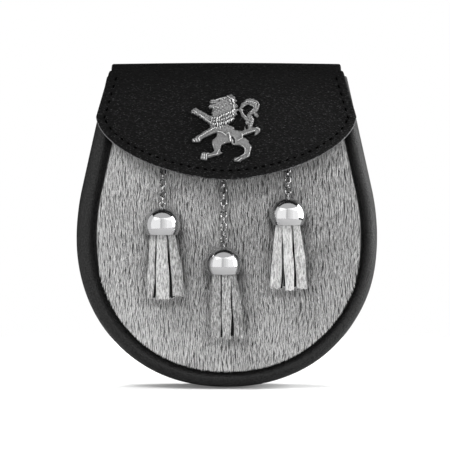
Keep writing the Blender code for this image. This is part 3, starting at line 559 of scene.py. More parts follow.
def flap_half_width(height):
    """Half the flap's width, in proportion to the way down from the turn to the corners."""
    down = np.clip((FLAP_TOP - height) / (FLAP_TOP - FLAP_CORNER), 0.0, 1.0)
    return FLAP_TOP_HALF + (FLAP_CORNER_HALF - FLAP_TOP_HALF) * down


def flap_share(x, height):
    """Share of the way across the flap, from -1 to 1."""
    return np.clip((x - FLAP_SHIFT) / flap_half_width(height), -1.0, 1.0)


def flap_lower_edge(size, across):
    """Height of the lower edge: the corners' less the drop times (1 - |across|^p)^q."""
    hang = np.clip(1.0 - np.abs(across) ** FLAP_CURVE_POWER, 0.0, None) ** FLAP_CURVE_ROOT
    return FLAP_CORNER - size.flap_drop * hang


def flap_depth(size, x, height):
    """Depth of the leaf's outer face: the front's, a gap, the crown, the lift and the leather."""
    down = np.clip((LIFT_FROM - height) / (LIFT_FROM - LIFT_FULL), 0.0, None)
    side_loss = 1.0 - LIFT_SIDE_LOSS * (x / FLAP_CORNER_HALF) ** 4
    lift = size.flap_lift * down**LIFT_EASE * side_loss
    return front_depth(size, height) + GAP + bulge(size, x, height) + lift + size.flap_thickness


def drift(x, y, wavelength, seed):
    """A smooth field from about -1 to 1: the mean of five sine waves in different directions."""
    rng = np.random.default_rng(seed)
    turn = rng.uniform(0.0, 2 * math.pi, 5)
    phase = rng.uniform(0.0, 2 * math.pi, 5)
    pace = 2 * math.pi / (wavelength * rng.uniform(0.7, 1.6, 5))
    field = np.zeros(np.shape(x))
    for angle, start, rate in zip(turn, phase, pace):
        field = field + np.sin(rate * (x * math.cos(angle) + y * math.sin(angle)) + start)
    return field / 2.6


# ---------------------------------------------------------------- meshes from arrays
def normals_of(grid):
    """Unit normals of a grid of points: the slope down the rows crossed with the slope across."""
    normal = np.cross(np.gradient(grid, axis=0), np.gradient(grid, axis=1))
    return normal / np.maximum(np.linalg.norm(normal, axis=-1, keepdims=True), 1e-12)


def grid_quads(index):
    """Quads between neighbouring rows and columns of a grid of point numbers."""
    corners = (index[:-1, :-1], index[1:, :-1], index[1:, 1:], index[:-1, 1:])
    return np.stack(corners, axis=-1).reshape(-1, 4)


def loop_quads(loops):
    """Quads between each closed loop of point numbers and the next."""
    after = np.roll(loops, -1, axis=1)
    return np.stack([loops[:-1], after[:-1], after[1:], loops[1:]], axis=-1).reshape(-1, 4)


def pole_fans(loops, first_pole):
    """Triangles from two poles, numbered in a row, to the first and the last of closed loops."""
    first, last = loops[0], loops[-1]
    pole = np.full(len(first), first_pole)
    return np.concatenate(
        [
            np.stack([pole, np.roll(first, -1), first], axis=-1),
            np.stack([pole + 1, last, np.roll(last, -1)], axis=-1),
        ]
    )


def closed_sheet(face, thickness, wear_and_highlight=(1.0,) * 5):
    """A sheet of even thickness with a half-round rim, each of whose rings takes the edge mask that is
    given.

    The inner face is the face less the thickness times its normal. A point of the rim at turn t
    is the middle of the edge plus half the thickness times (normal cos t + outward sin t).
    Gives the points, the quads and two masks: the rim's edge mask, for wear and painted highlight, and the
    inner face."""
    rows, columns = face.shape[:2]
    normal = normals_of(face)
    inner = face - thickness * normal
    index = np.arange(rows * columns).reshape(rows, columns)
    ring = np.concatenate([index[0, :-1], index[:-1, -1], index[-1, :0:-1], index[:0:-1, 0]])
    edge, edge_normal = face.reshape(-1, 3)[ring], normal.reshape(-1, 3)[ring]
    run = np.roll(edge, -1, axis=0) - np.roll(edge, 1, axis=0)
    outward = np.cross(edge_normal, run)
    outward /= np.maximum(np.linalg.norm(outward, axis=1, keepdims=True), 1e-12)
    turn = np.linspace(0.0, math.pi, len(wear_and_highlight) + 2)[1:-1, None, None]
    half = thickness / 2
    rim = edge - half * edge_normal + half * (np.cos(turn) * edge_normal + np.sin(turn) * outward)
    points = np.concatenate([face.reshape(-1, 3), inner.reshape(-1, 3), rim.reshape(-1, 3)])
    rim_index = 2 * rows * columns + np.arange(len(wear_and_highlight) * len(ring)).reshape(len(wear_and_highlight), -1)
    loops = np.concatenate([ring[None], rim_index, ring[None] + rows * columns])
    sheet = grid_quads(index)
    quads = np.concatenate([sheet, sheet[:, ::-1] + rows * columns, loop_quads(loops)])
    mask = np.zeros(len(points))
    mask[2 * rows * columns :] = np.repeat(wear_and_highlight, len(ring))
    mask[ring] = 0.6 * wear_and_highlight[0]
    inside = np.zeros(len(points))
    inside[rows * columns : 2 * rows * columns] = 1.0
    return points, quads, {"edge": mask, "inside": inside}


def plate(edge_x, edge_height, out_x, out_height, middle, depth_of, thickness, rings=26, rim_steps=5):
    """A plate inside a closed outline, with a half-round rim.

    A point of the front is the middle plus a share of the way to the edge, at depth_of there; the
    rear lies one thickness behind; the rim turns from one to the other."""
    count = len(edge_x)
    part = np.linspace(1.0, 0.0, rings + 1)[:-1, None] ** 0.9
    ring_x, ring_height = part * edge_x, middle + part * (edge_height - middle)
    depth = depth_of(ring_x, ring_height)
    front, rear = place(ring_x, depth, ring_height), place(ring_x, depth - thickness, ring_height)
    turn = np.linspace(0.0, math.pi, rim_steps + 2)[1:-1, None]
    half = thickness / 2
    rim = place(
        edge_x + half * np.sin(turn) * out_x,
        depth[0] - half + half * np.cos(turn),
        edge_height + half * np.sin(turn) * out_height,
    )
    loops = [front[::-1], rim, rear]
    points = np.concatenate([part.reshape(-1, 3) for part in loops])
    total = len(points)
    centre = float(depth_of(np.array(0.0), np.array(middle)))
    poles = place(0.0, np.array([centre, centre - thickness]), middle)
    index = np.arange(total).reshape(-1, count)
    mask = np.zeros(total + 2)
    mask[rings * count : (rings + rim_steps) * count] = 1.0
    faces = (loop_quads(index), pole_fans(index, total))
    return np.concatenate([points, poles]), faces, {"edge": mask, "inside": np.zeros(total + 2)}


def turned(radius, level, sides=48):
    """A profile turned about Z, whose first and last points lie on the axis."""
    turn = np.linspace(0.0, 2 * math.pi, sides, endpoint=False)
    radius = radius[1:-1, None]
    ring = points_of(radius * np.cos(turn), radius * np.sin(turn), level[1:-1, None]).reshape(-1, 3)
    index = np.arange(len(ring)).reshape(-1, sides)
    poles = points_of(0.0, 0.0, level[[0, -1]])
    return np.concatenate([ring, poles]), loop_quads(index), pole_fans(index, len(ring))


def wire(path, flat, radius, sides=10, closed=True):
    """A round wire along a flat path: path + radius times (side cos t + plane normal sin t)."""
    flat = np.array(flat, float)
    if closed:
        run = np.roll(path, -1, axis=0) - np.roll(path, 1, axis=0)
    else:
        run = np.gradient(path, axis=0)
    side = np.cross(run, flat)
    side /= np.linalg.norm(side, axis=1, keepdims=True)
    turn = np.linspace(0.0, 2 * math.pi, sides, endpoint=False)[None, :, None]
    points = path[:, None] + radius * (np.cos(turn) * side[:, None] + np.sin(turn) * flat)
    index = np.arange(len(path) * sides).reshape(len(path), sides)
    if closed:
        return points.reshape(-1, 3), loop_quads(np.vstack([index, index[:1]]))
    fans = pole_fans(index, index.size)[:, [0, 1, 2, 2]]
    return np.concatenate([points.reshape(-1, 3), path[[0, -1]]]), np.concatenate([loop_quads(index), fans])


def leant(points, angle):
    """Points turned about X."""
    x, y, z = points.T
    along, aside = math.cos(angle), math.sin(angle)
    return points_of(x, y * along - z * aside, y * aside + z * along)


def joined(parts):
    """Several (points, faces) as one, with the point numbers of each moved on."""
    points, faces, start = [], [], 0
    for some_points, some_faces in parts:
        points.append(some_points)
        faces.append(some_faces + start)
        start += len(some_points)
    return np.concatenate(points), np.concatenate(faces)


def mesh_from(name, points, face_sets, outward=True):
    """A mesh from arrays. Faces with a repeated corner lose it, and closed bodies face outwards."""
    sizes, corners = [], []
    for faces in face_sets:
        if faces.shape[1] == 4:
            flat = faces[:, 2] == faces[:, 3]
            parts = (faces[~flat], faces[flat][:, :3])
        else:
            parts = (faces,)
        for part in parts:
            sizes.append(np.full(len(part), part.shape[1]))
            corners.append(part.ravel())
    sizes, corners = np.concatenate(sizes), np.concatenate(corners)
    mesh = bpy.data.meshes.new(name)
    mesh.vertices.add(len(points))
    mesh.vertices.foreach_set("co", np.asarray(points, np.float32).ravel())
    mesh.loops.add(len(corners))
    mesh.loops.foreach_set("vertex_index", corners.astype(np.int32))
    mesh.polygons.add(len(sizes))
    mesh.polygons.foreach_set("loop_start", (np.cumsum(sizes) - sizes).astype(np.int32))
    mesh.update(calc_edges=True)
    if outward:
        bm = bmesh.new()
        bm.from_mesh(mesh)
        bmesh.ops.recalc_face_normals(bm, faces=bm.faces)
        bm.to_mesh(mesh)
        bm.free()
    return mesh


def add_piece(name, points, faces, material, nodes=(), masks=None, outward=True, sharp=None):
    """Make and link a piece that rides on the pouch and stands for its CAD nodes."""
    mesh = mesh_from(name, points, faces, outward)
    for label, values in (masks or {}).items():
        layer = mesh.attributes.new(label, "FLOAT", "POINT")
        layer.data.foreach_set("value", np.asarray(values, np.float32))
    mesh.shade_smooth()
    if sharp:
        mesh.set_sharp_from_angle(angle=math.radians(sharp))
    mesh.materials.append(material)
    piece = bpy.data.objects.new(name, mesh)
    bpy.context.scene.collection.objects.link(piece)
    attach(piece, "root")
    if nodes:
        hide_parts(*nodes)
    return piece


# ---------------------------------------------------------------- stitching
def stitch_spots(line, outward, pitch):
    """Middles, directions and face normals of stitches at an even pitch along a line."""
    step = np.linalg.norm(np.diff(line, axis=0), axis=1)
    run = np.concatenate([[0.0], np.cumsum(step)])
    outward = np.broadcast_to(outward, line.shape)
    count = max(1, int(run[-1] / pitch))
    at = (np.arange(count) + 0.5) * run[-1] / count

    def read(values, at):
        return np.stack([np.interp(at, run, column) for column in values.T], axis=-1)

    along = read(line, at + pitch / 8) - read(line, at - pitch / 8)
    return read(line, at), along / np.linalg.norm(along, axis=1, keepdims=True), read(outward, at)


def stitch_mesh(spots, along, up, length, thread, sink):
    """Threads, each a shallow arch that dips into the leather at both ends.

    At share s of the thread, its middle is spot + along * length * (s - 1/2) + up * (rise - sink),
    where rise is half a thread times 1 - (2 s - 1)^4."""
    part = np.array([0.0, 0.12, 0.35, 0.65, 0.88, 1.0])
    thick = np.array([0.35, 0.85, 1.0, 1.0, 0.85, 0.35]) * thread / 2
    rise = thread * (1.0 - (2 * part - 1) ** 4) * 0.5 - sink
    side = np.cross(along, up)
    turn = np.linspace(0.0, 2 * math.pi, 6, endpoint=False)
    middle = spots[:, None] + along[:, None] * (length * (part - 0.5))[:, None]
    middle = middle + up[:, None] * rise[:, None]
    ring = np.cos(turn)[:, None] * side[:, None, None] + np.sin(turn)[:, None] * up[:, None, None]
    points = middle[:, :, None] + thick[:, None, None] * ring
    count, sections, sides = points.shape[:3]
    index = np.arange(sections * sides).reshape(sections, sides)
    quads = loop_quads(index)
    caps = np.stack([index[0][::-1], index[-1]])
    starts = (np.arange(count) * sections * sides)[:, None, None]
    return points.reshape(-1, 3), ((quads + starts).reshape(-1, 4), (caps + starts).reshape(-1, sides))


def sew(name, lines, context, material, sink=0.25):
    """Stitching along several lines, each given as points and their outward normals, or one for all."""
    stitching = context.scene.sporran_stitching
    spots, along, up = (
        np.concatenate(parts)
        for parts in zip(*[stitch_spots(line, outward, stitching.pitch) for line, outward in lines])
    )
    thread = stitching.thread
    points, faces = stitch_mesh(spots, along, up, stitching.stitch, thread, sink * thread)
    add_piece(name, points, faces, material)
    return spots, along


# ---------------------------------------------------------------- materials
class Nodes:
    """Adds nodes to one tree. An input that is given a socket is linked; any other value is set."""

    def __init__(self, tree):
        self.tree = tree

    def feed(self, socket, value):
        if isinstance(value, bpy.types.NodeSocket):
            self.tree.links.new(value, socket)
        elif socket.type == "RGBA":
            socket.default_value = (*value, 1.0)
        else:
            socket.default_value = value

    def add(self, kind, inputs=None, **settings):
        made = self.tree.nodes.new(kind if kind.startswith("Node") else "ShaderNode" + kind)
        for key, value in settings.items():
            setattr(made, key, value)
        for key, value in (inputs or {}).items():
            self.feed(made.inputs[key], value)
        return made

    def math(self, operation, first, second):
        return self.add("Math", {0: first, 1: second}, operation=operation).outputs[0]

    def vector(self, operation, first, second):
        return self.add("VectorMath", {0: first, 1: second}, operation=operation).outputs[0]

    def range(self, value, low, high, to_low=0.0, to_high=1.0):
        return self.add("MapRange", {0: value, 1: low, 2: high, 3: to_low, 4: to_high}).outputs[0]

    def mix(self, factor, first, second):
        """A mix of two colours."""
        return self.add("Mix", {0: factor, 6: first, 7: second}, data_type="RGBA").outputs[2]

    def attribute(self, name):
        return self.add("Attribute", attribute_name=name, attribute_type="GEOMETRY").outputs["Fac"]

    def where(self):
        return self.add("TexCoord").outputs["Object"]

    def noise(self, scale, detail, where=None):
        """Noise from 0 to 1 on Object coordinates, or on the place that is given."""
        where = self.where() if where is None else where
        return self.add("TexNoise", {"Vector": where, "Scale": scale, "Detail": detail}).outputs[0]

    def bump(self, height, distance, strength=1.0):
        inputs = {"Strength": strength, "Distance": distance, "Height": height}
        return self.add("Bump", inputs).outputs[0]

    def use(self, group, inputs):
        return self.add("Group", inputs, node_tree=group).outputs

    def shade(self, **sockets):
        """Link or set the shader's sockets by their names, with underscores for spaces."""
        shader = self.tree.nodes["Principled BSDF"]
        for label, value in sockets.items():
            self.feed(shader.inputs[label.replace("_", " ")], value)


def group(name, inputs, outputs):
    """A shader node group with named sockets. Returns its tree, or None for nodes if it exists."""
    if name in bpy.data.node_groups:
        return bpy.data.node_groups[name], None, None
    tree = bpy.data.node_groups.new(name, "ShaderNodeTree")
    for label, kind, value in inputs:
        socket = tree.interface.new_socket(name=label, in_out="INPUT", socket_type="NodeSocket" + kind)
        socket.default_value = value
    for label, kind in outputs:
        tree.interface.new_socket(name=label, in_out="OUTPUT", socket_type="NodeSocket" + kind)
    nodes = Nodes(tree)
    return tree, nodes, nodes.add("NodeGroupInput").outputs


def pebble_grain():
    """Rounded pebbles of leather with finer pores, pressed flat by the stretch.

    Gives a Height for a bump, a mask of painted shade in the valleys and a mask of painted glint on the
    highest pebbles."""
    tree, nodes, given = group(
        "pebble grain",
        (("Size", "Float", 0.0013), ("Stretch", "Float", 1.0)),
        (("Height", "Float"), ("Painted Crease Shade", "Float"), ("Painted Glint", "Float")),
    )
    if nodes is None:
        return tree
    stretch = nodes.add("CombineXYZ", {0: 1.0, 1: given["Stretch"], 2: given["Stretch"]}).outputs[0]
    where = nodes.vector("MULTIPLY", nodes.where(), stretch)
    scale = nodes.math("DIVIDE", 1.0, given["Size"])
    broad = nodes.math("MULTIPLY", scale, 0.45)
    warp = nodes.add("TexNoise", {"Vector": where, "Scale": broad, "Detail": 2.0}).outputs["Color"]
    reach = nodes.math("MULTIPLY", given["Size"], 1.1)
    shift = nodes.add("VectorMath", {0: warp, "Scale": reach}, operation="SCALE").outputs[0]
    moved = nodes.vector("ADD", where, shift)
    shape = {"Vector": moved, "Scale": scale, "Smoothness": 0.35, "Randomness": 0.95}
    cells = nodes.add("TexVoronoi", shape, feature="SMOOTH_F1")
    pebble = nodes.range(cells.outputs["Distance"], 0.05, 0.72, 1.0, 0.0)
    pores = nodes.noise(nodes.math("MULTIPLY", scale, 3.2), 2.0, where)
    height = nodes.math("ADD", nodes.math("MULTIPLY", pebble, 0.8), nodes.math("MULTIPLY", pores, 0.35))
    # the highest pebbles, which take a painted glint
    painted_glint_mask = nodes.math("ADD", pebble, nodes.range(pores, 0.3, 0.7, -0.2, 0.2))
    found = {"Height": height, "Painted Crease Shade": nodes.range(pebble, 0.15, 0.5, 1.0, 0.0)}
    nodes.add("NodeGroupOutput", {**found, "Painted Glint": nodes.range(painted_glint_mask, 0.72, 1.05)})
    return tree


def edge_wear():
    """Colour and roughness that change where a mask is high, broken up by a fine noise."""
    tree, nodes, given = group(
        "edge wear",
        (
            ("Edge", "Float", 0.0),
            ("Breakup", "Float", 900.0),
            ("Colour", "Color", (0.0, 0.0, 0.0, 1.0)),
            ("Wear and Highlight Colour", "Color", (0.1, 0.1, 0.1, 1.0)),
            ("Roughness", "Float", 0.5),
            ("Worn Roughness", "Float", 0.4),
        ),
        (("Colour", "Color"), ("Roughness", "Float")),
    )
    if nodes is None:
        return tree
    noise = nodes.noise(given["Breakup"], 3.0)
    wear_and_highlight = nodes.math("ADD", given["Edge"], nodes.range(noise, 0.3, 0.7, -0.28, 0.28))
    wear_and_highlight = nodes.range(wear_and_highlight, 0.35, 0.85)
    tint = nodes.mix(wear_and_highlight, given["Colour"], given["Wear and Highlight Colour"])
    gloss = nodes.add("Mix", {0: wear_and_highlight, 2: given["Roughness"], 3: given["Worn Roughness"]}).outputs[0]
    nodes.add("NodeGroupOutput", {"Colour": tint, "Roughness": gloss})
    return tree


def handling():
    """Soft patches of higher and lower roughness, as handling leaves them."""
    tree, nodes, given = group(
        "handling",
        (("Roughness", "Float", 0.4), ("Amount", "Float", 0.1), ("Scale", "Float", 45.0)),
        (("Roughness", "Float"),),
    )
    if nodes is None:
        return tree
    noise = nodes.noise(given["Scale"], 4.0)
    swing = nodes.math("MULTIPLY", given["Amount"], 2.0)
    swing = nodes.math("MULTIPLY", nodes.math("SUBTRACT", noise, 0.5), swing)
    nodes.add("NodeGroupOutput", {"Roughness": nodes.math("ADD", given["Roughness"], swing)})
    return tree


def strokes():
    """Fine streaks that run up and down, as brushed hair or nap: Value from 0 to 1."""
    tree, nodes, given = group(
        "strokes",
        (("Width", "Float", 0.0006), ("Length", "Float", 0.006)),
        (("Value", "Float"),),
    )
    if nodes is None:
        return tree
    narrow, long = (nodes.math("DIVIDE", 1.0, given[name]) for name in ("Width", "Length"))
    scale = nodes.add("CombineXYZ", {0: narrow, 1: narrow, 2: long}).outputs[0]
    where = nodes.vector("MULTIPLY", nodes.where(), scale)
    shape = {"Vector": where, "Scale": 1.0, "Detail": 3.0, "Distortion": 0.4}
    noise = nodes.add("TexNoise", shape).outputs[0]
    nodes.add("NodeGroupOutput", {"Value": nodes.range(noise, 0.28, 0.72)})
    return tree


def new_material(name):
    material = bpy.data.materials.new(name)
    material.use_nodes = True
    return material, Nodes(material.node_tree)


def scaled(tint, factor):
    return tuple(part * factor for part in tint)


def leather(name, look, tint, grain=1.0, depth=1.0, stretch=1.0, specular=0.10, wear_and_highlight=1.0, painted_glint_factor=1.0):
    """Dyed leather: pebbles and pores as a bump, burnished cut edges and a duller flesh side.

    The edges are lighter, partly by wear and partly as a painted highlight, and the tips of the
    pebbles lighter as a painted glint, each by its factor; the creases and the turn over the mouth
    are darker as painted shade."""
    material, nodes = new_material(name)
    pebbles = nodes.use(pebble_grain(), {"Size": look.grain * grain, "Stretch": stretch})
    handled = nodes.use(handling(), {"Roughness": look.gloss, "Amount": 0.10})
    # painted shade in the grain's valleys, and a painted glint on its highest pebbles
    face = nodes.mix(pebbles["Painted Crease Shade"], tint, scaled(tint, 0.3))
    face = nodes.mix(pebbles["Painted Glint"], face, scaled(tint, painted_glint_factor))
    # painted shade over the turn at the top of the flap
    face = nodes.mix(nodes.attribute("painted_fold_shade"), face, scaled(tint, 0.1))
    face = nodes.mix(nodes.attribute("inside"), face, look.lining)
    wear = nodes.use(
        edge_wear(),
        {
            "Edge": nodes.attribute("edge"),
            "Colour": face,
            "Wear and Highlight Colour": scaled(look.edge, wear_and_highlight),
            "Roughness": handled["Roughness"],
            "Worn Roughness": 0.36,
        },
    )
    nodes.shade(
        Base_Color=wear["Colour"],
        Roughness=wear["Roughness"],
        Specular_IOR_Level=specular,
        Normal=nodes.bump(pebbles["Height"], look.grain_depth * depth),
    )
    return material


def thread_material(look):
    """Waxed thread: twisted plies as fine stripes along it."""
    material, nodes = new_material("waxed_thread")
    plies = nodes.noise(2600.0, 2.0)
    tint = nodes.mix(plies, look.thread, scaled(look.thread, 3.0))
    twist = nodes.bump(plies, 0.0001, 0.8)
    nodes.shade(Base_Color=tint, Roughness=0.7, Specular_IOR_Level=0.0, Normal=twist)
    return material


def hide_material(look):
    """The hide under the coat: dark skin with streaks of short under-hair."""
    material, nodes = new_material("hide")
    streaks = nodes.use(strokes(), {"Width": 0.0005, "Length": 0.005})["Value"]
    tint = nodes.mix(streaks, look.dark, look.middle)
    ruffle = nodes.bump(streaks, 0.0003)
    nodes.shade(Base_Color=tint, Roughness=0.9, Specular_IOR_Level=0.2, Normal=ruffle)
    return material


def hair_material(look):
    """Hairs whose own tone runs from dark through grey to light."""
    material, nodes = new_material("grey_hair")
    tone = nodes.attribute("tone")
    low = nodes.mix(nodes.range(tone, 0.0, 0.5), look.dark, look.middle)
    tint = nodes.mix(nodes.range(tone, 0.5, 1.0), low, look.light)
    nodes.shade(Base_Color=tint, Roughness=0.62, Specular_IOR_Level=0.25)
    return material


def suede_material(look):
    """Napped suede: streaks and small blotches of brushed nap, each strip with a tone of its own, and
    painted shade that makes the inner faces nearly black.
    """
    material, nodes = new_material("grey_suede")
    streaks = nodes.use(strokes(), {"Width": 0.00055, "Length": 0.0030})["Value"]
    blotches = nodes.noise(1100.0, 4.0)
    nap = nodes.math("ADD", nodes.math("MULTIPLY", streaks, 0.65), nodes.math("MULTIPLY", blotches, 0.40))
    nap = nodes.math("ADD", nap, nodes.attribute("nap"))
    face = nodes.mix(nodes.range(nap, 0.28, 0.85), look.dark, look.light)
    # painted shade: the inner faces of the strips, and the head, nearly black
    face = nodes.mix(nodes.attribute("inside"), face, (0.012, 0.012, 0.012))
    wear_and_highlight = nodes.use(
        edge_wear(),
        {
            "Edge": nodes.math("MULTIPLY", nodes.attribute("edge"), 0.4),
            "Colour": face,
            "Wear and Highlight Colour": scaled(look.light, 0.9),
            "Roughness": 0.95,
            "Worn Roughness": 0.9,
        },
    )
    fuzz = nodes.math("ADD", nap, nodes.noise(2400.0, 3.0))
    nodes.shade(
        Base_Color=wear_and_highlight["Colour"],
        Roughness=wear_and_highlight["Roughness"],
        Specular_IOR_Level=0.1,
        Sheen_Weight=0.12,
        Sheen_Roughness=0.5,
        Normal=nodes.bump(fuzz, 0.00035, 0.9),
    )
    return material


def chrome_material(name, tint, roughness, amount):
    """Polished plate with the faint patches that handling leaves, and dark and light specks where the mask
    is set: partly tarnish, partly painted reflection.
    """
    material, nodes = new_material(name)
    handled = nodes.use(handling(), {"Roughness": roughness, "Amount": amount, "Scale": 320.0})
    # dark and light specks: partly tarnish, partly painted reflection
    specks = nodes.range(nodes.noise(900.0, 2.0), 0.46, 0.56)
    specks = nodes.mix(specks, (0.03, 0.03, 0.03), (0.72, 0.72, 0.72))
    tint = nodes.mix(nodes.attribute("tarnish_and_reflection"), tint, specks)
    nodes.shade(Base_Color=tint, Metallic=1.0, Roughness=handled["Roughness"])
    return material


def antique_material(look, name="antique_casting", masked=True):
    """Antique casting: rubbed bright on its ridges, grey on its faces and black in its hollows."""
    material, nodes = new_material(name)
    pits = nodes.noise(1500.0, 4.0)
    rubbed = nodes.attribute("rubbed") if masked else 0.5
    rubbed = nodes.math("ADD", rubbed, nodes.range(pits, 0.3, 0.7, -0.12, 0.12))
    low = nodes.mix(nodes.range(rubbed, 0.12, 0.48), look.dark, look.middle)
    tint = nodes.mix(nodes.range(rubbed, 0.55, 0.85), low, look.bright)
    gloss = nodes.range(rubbed, 0.2, 0.9, 0.55, 0.26)
    pitted = nodes.bump(pits, 0.00012, 0.6)
    nodes.shade(Base_Color=tint, Metallic=0.85, Roughness=gloss, Normal=pitted)
    return material


# ---------------------------------------------------------------- leather body
def u_profile(size):
    """The side wall's section, from the seam with the fur round the rim to the rear flange.

    Columns: share of the way out to the crest, share beyond it, fixed inset, fixed depth, and how
    much of the front's depth is added. Outside its crest the rim is a quarter ellipse, inside it half
    a cosine wave, and the rear is a quarter round."""
    quarter = np.radians(np.linspace(90.0, 0.0, 13))
    beyond = np.linspace(1.0, 0.0, 13)
    down = np.linspace(0.0, 1.0, 14)[1:-1]
    half, rear = size.wall / 2, GAP + BACK_THICKNESS
    level = (1.0 - down) * -ROLL_HEIGHT + down * (rear + REAR_ROUND)
    low, short = 1.0 - np.cos(quarter), 1.0 - np.sin(quarter)
    sections = (
        (1.0, 1.0, FRONT_FLANGE - half, -size.groove, 1.0),
        (1.0, beyond, 0.0, -size.groove * (1.0 - np.cos(math.pi * beyond)) / 2, 1.0),
        (low, 0.0, WALL_HOLLOW * np.cos(quarter), -ROLL_HEIGHT * short, 1.0),
        (0.0, 0.0, WALL_HOLLOW * (2 * down - 1) ** 2, level, 1.0 - down),
        (0.0, 0.0, WALL_HOLLOW + REAR_ROUND * short, rear + REAR_ROUND * low, 0.0),
        (0.0, 0.0, REAR_FLANGE - half, rear, 0.0),
    )
    front, seam, roll, *others = (points_of(*columns).reshape(-1, 5) for columns in sections)
    return np.vstack([front, seam, roll[1:], *others])


class SPORRAN_OT_gusset(bpy.types.Operator):
    """Side wall: its section carried round the U of the outline, with the rolled rim in front"""

    bl_idname = "sporran.gusset"
    bl_label = "Side Wall and Rim"

    def execute(self, context):
        size, look = context.scene.sporran_sizes, context.scene.sporran_leather
        x, height, out_x, out_height = outline(size, BODY_TOP - size.wall / 2)
        rim = rim_width(size, out_x, out_height)
        to_crest, past_crest, fixed, level, from_front = u_profile(size).T[:, :, None]
        inset = rim * (CREST_SHARE * to_crest + (1.0 - CREST_SHARE) * past_crest) + fixed
        inset = inset + RIM_UNEVEN * drift(x, height, 0.045, 3) * (to_crest > 0.0)
        wall_x, wall_height = x - inset * out_x, height - inset * out_height
        depth = level + from_front * front_depth(size, wall_height)
        points, quads, masks = closed_sheet(place(wall_x, depth, wall_height), size.wall)
        material = leather("rim_leather", look, look.rim, 0.62, 1.6, specular=0.30)
        add_piece("side_wall", points, [quads], material, ["gusset"], masks)
        return {"FINISHED"}


class SPORRAN_OT_back(bpy.types.Operator):
    """Back panel with the seam that joins it to the side wall"""

    bl_idname = "sporran.back"
    bl_label = "Back Panel"

    def execute(self, context):
        size, look = context.scene.sporran_sizes, context.scene.sporran_leather
        x, height, out_x, out_height = outline(size, BACK_TOP - BACK_THICKNESS / 2)
        inset = BACK_INSET + BACK_THICKNESS / 2
        edge = closed_over_top(x - inset * out_x, height - inset * out_height, out_x, out_height)

        def flat(x, height):
            return np.full(np.broadcast(x, height).shape, BACK_THICKNESS)

        points, faces, masks = plate(*edge, CROWN_CENTRE, flat, BACK_THICKNESS)
        material = leather("back_leather", look, look.colour, 1.0, 0.8)
        add_piece("rear_leather", points, faces, material, ["back_panel"], masks)
        x, height, out_x, out_height = outline(size, REAR_SEAM_TOP)
        line = place(x - REAR_SEAM_INSET * out_x, 0.0, height - REAR_SEAM_INSET * out_height)
        sew("rear_seam", [(line, BACKWARD)], context, thread_material(look), 0.15)
        return {"FINISHED"}


# ---------------------------------------------------------------- fur
def coat_roots(size, look, part, parts, rng):
    """Roots of one upright band: a grid with each place moved at random, cut to the hide's shape."""
    edge_x, edge_height, _, _ = fur_edge(size)
    middle = len(edge_x) // 2
    band = 2 * size.half_width / parts
    left = -size.half_width + part * band
    x, height = np.meshgrid(
        np.arange(left, left + band, look.spacing), np.arange(COAT_LOW, COAT_HIGH, look.spacing)
    )
    x = (x + rng.uniform(-0.5, 0.5, x.shape) * look.spacing).ravel()
    height = (height + rng.uniform(-0.5, 0.5, height.shape) * look.spacing).ravel()
    most = np.interp(height, edge_height[middle:], edge_x[middle:])
    least = np.interp(height, edge_height[middle::-1], edge_x[middle::-1])
    lower = flap_lower_edge(size, flap_share(x, height))
    keep = (x < most - COAT_MARGIN) & (x > least + COAT_MARGIN) & (height < lower + COAT_UNDER_FLAP)
    return x[keep], height[keep]


def coat_locks(look, x, height):
    """The lock that each root belongs to: its middle's x, its rise, its shade and its turn.

    Locks stand in columns whose sides wander, and are cut into rows that start anywhere. Rise and
    turn are drawn from 0 to 1. A shade is such a number less the mean of those on its two sides."""
    warped = x + 0.0007 * drift(x, height, 0.015, 5)
    column = np.floor(warped / look.lock).astype(int)
    columns, rows = LOCK_TABLE
    table = np.random.default_rng(7).uniform(0.0, 1.0, (4, columns, rows))
    row = np.floor(height / LOCK_LENGTH + 3.0 * table[0, column % columns, 0]).astype(int)
    table[2] -= (np.roll(table[2], 1, axis=0) + np.roll(table[2], -1, axis=0)) / 2
    jitter, rise, shade, turn = table[:, column % columns, row % rows]
    return (column + 0.25 + 0.5 * jitter) * look.lock - (warped - x), rise, shade, turn


def coat_tone(look, x, height, lock_x, shade, noise):
    """Tone of each hair: its own and its lock's, with painted light and shade.

    The partings are darker, as dark under-hair with painted shade; painted shade lies round the balls,
    under the chains and beside the strips, and as a patch of the flap's and tassels' shadow; the coat
    is painted lighter towards the bottom and the left and darker towards the right.
    """
    tone = HAIR_TONE + noise + LOCK_TONE * shade + 0.03 * drift(x, height, 0.022, 13)
    # partings: dark under-hair and painted shade at the sides of each lock
    tone -= PARTING_SHADE * np.clip(np.abs(lock_x - x) / (0.55 * look.lock), 0.0, 1.2) ** 3
    # painted shadow of the flap and the tassels, a soft patch in the upper middle
    tone -= 0.05 * np.exp(-(((x - 0.012) / 0.045) ** 2) - ((height - 0.118) / 0.035) ** 2)
    # painted light: lighter towards the bottom and the left, darker towards the right
    tone += 0.11 * np.clip((0.085 - height) / 0.05, 0.0, 1.0) - 0.05 * np.clip(x / 0.05, -0.8, 1.0)
    # painted shade round each ball, under each chain and beside each bundle of strips
    for _, chain_x, ball_height, _ in TASSELS:
        beyond = np.clip(np.hypot(x - chain_x, height - ball_height) - SHADING_BALL, 0.0, None)
        tone -= BALL_SHADE * np.exp(-((beyond / SHADE_REACH) ** 2))
        tone -= CHAIN_SHADE * np.exp(-(((x - chain_x) / SHADE_REACH) ** 2)) * (height > ball_height)
        down = (ball_height - height) / BUNDLE_LENGTH
        beside = np.abs(x - chain_x - BUNDLE_SHIFT) - BUNDLE_HALF_WIDTH - BUNDLE_FLARE * down
        beside = np.clip(beside, 0.0, None)
        near = np.exp(-((beside / STRIP_SHADE_REACH) ** 2))
        tone -= STRIP_SHADE * near * (down > 0.0) * (down < 1.03)
    return tone


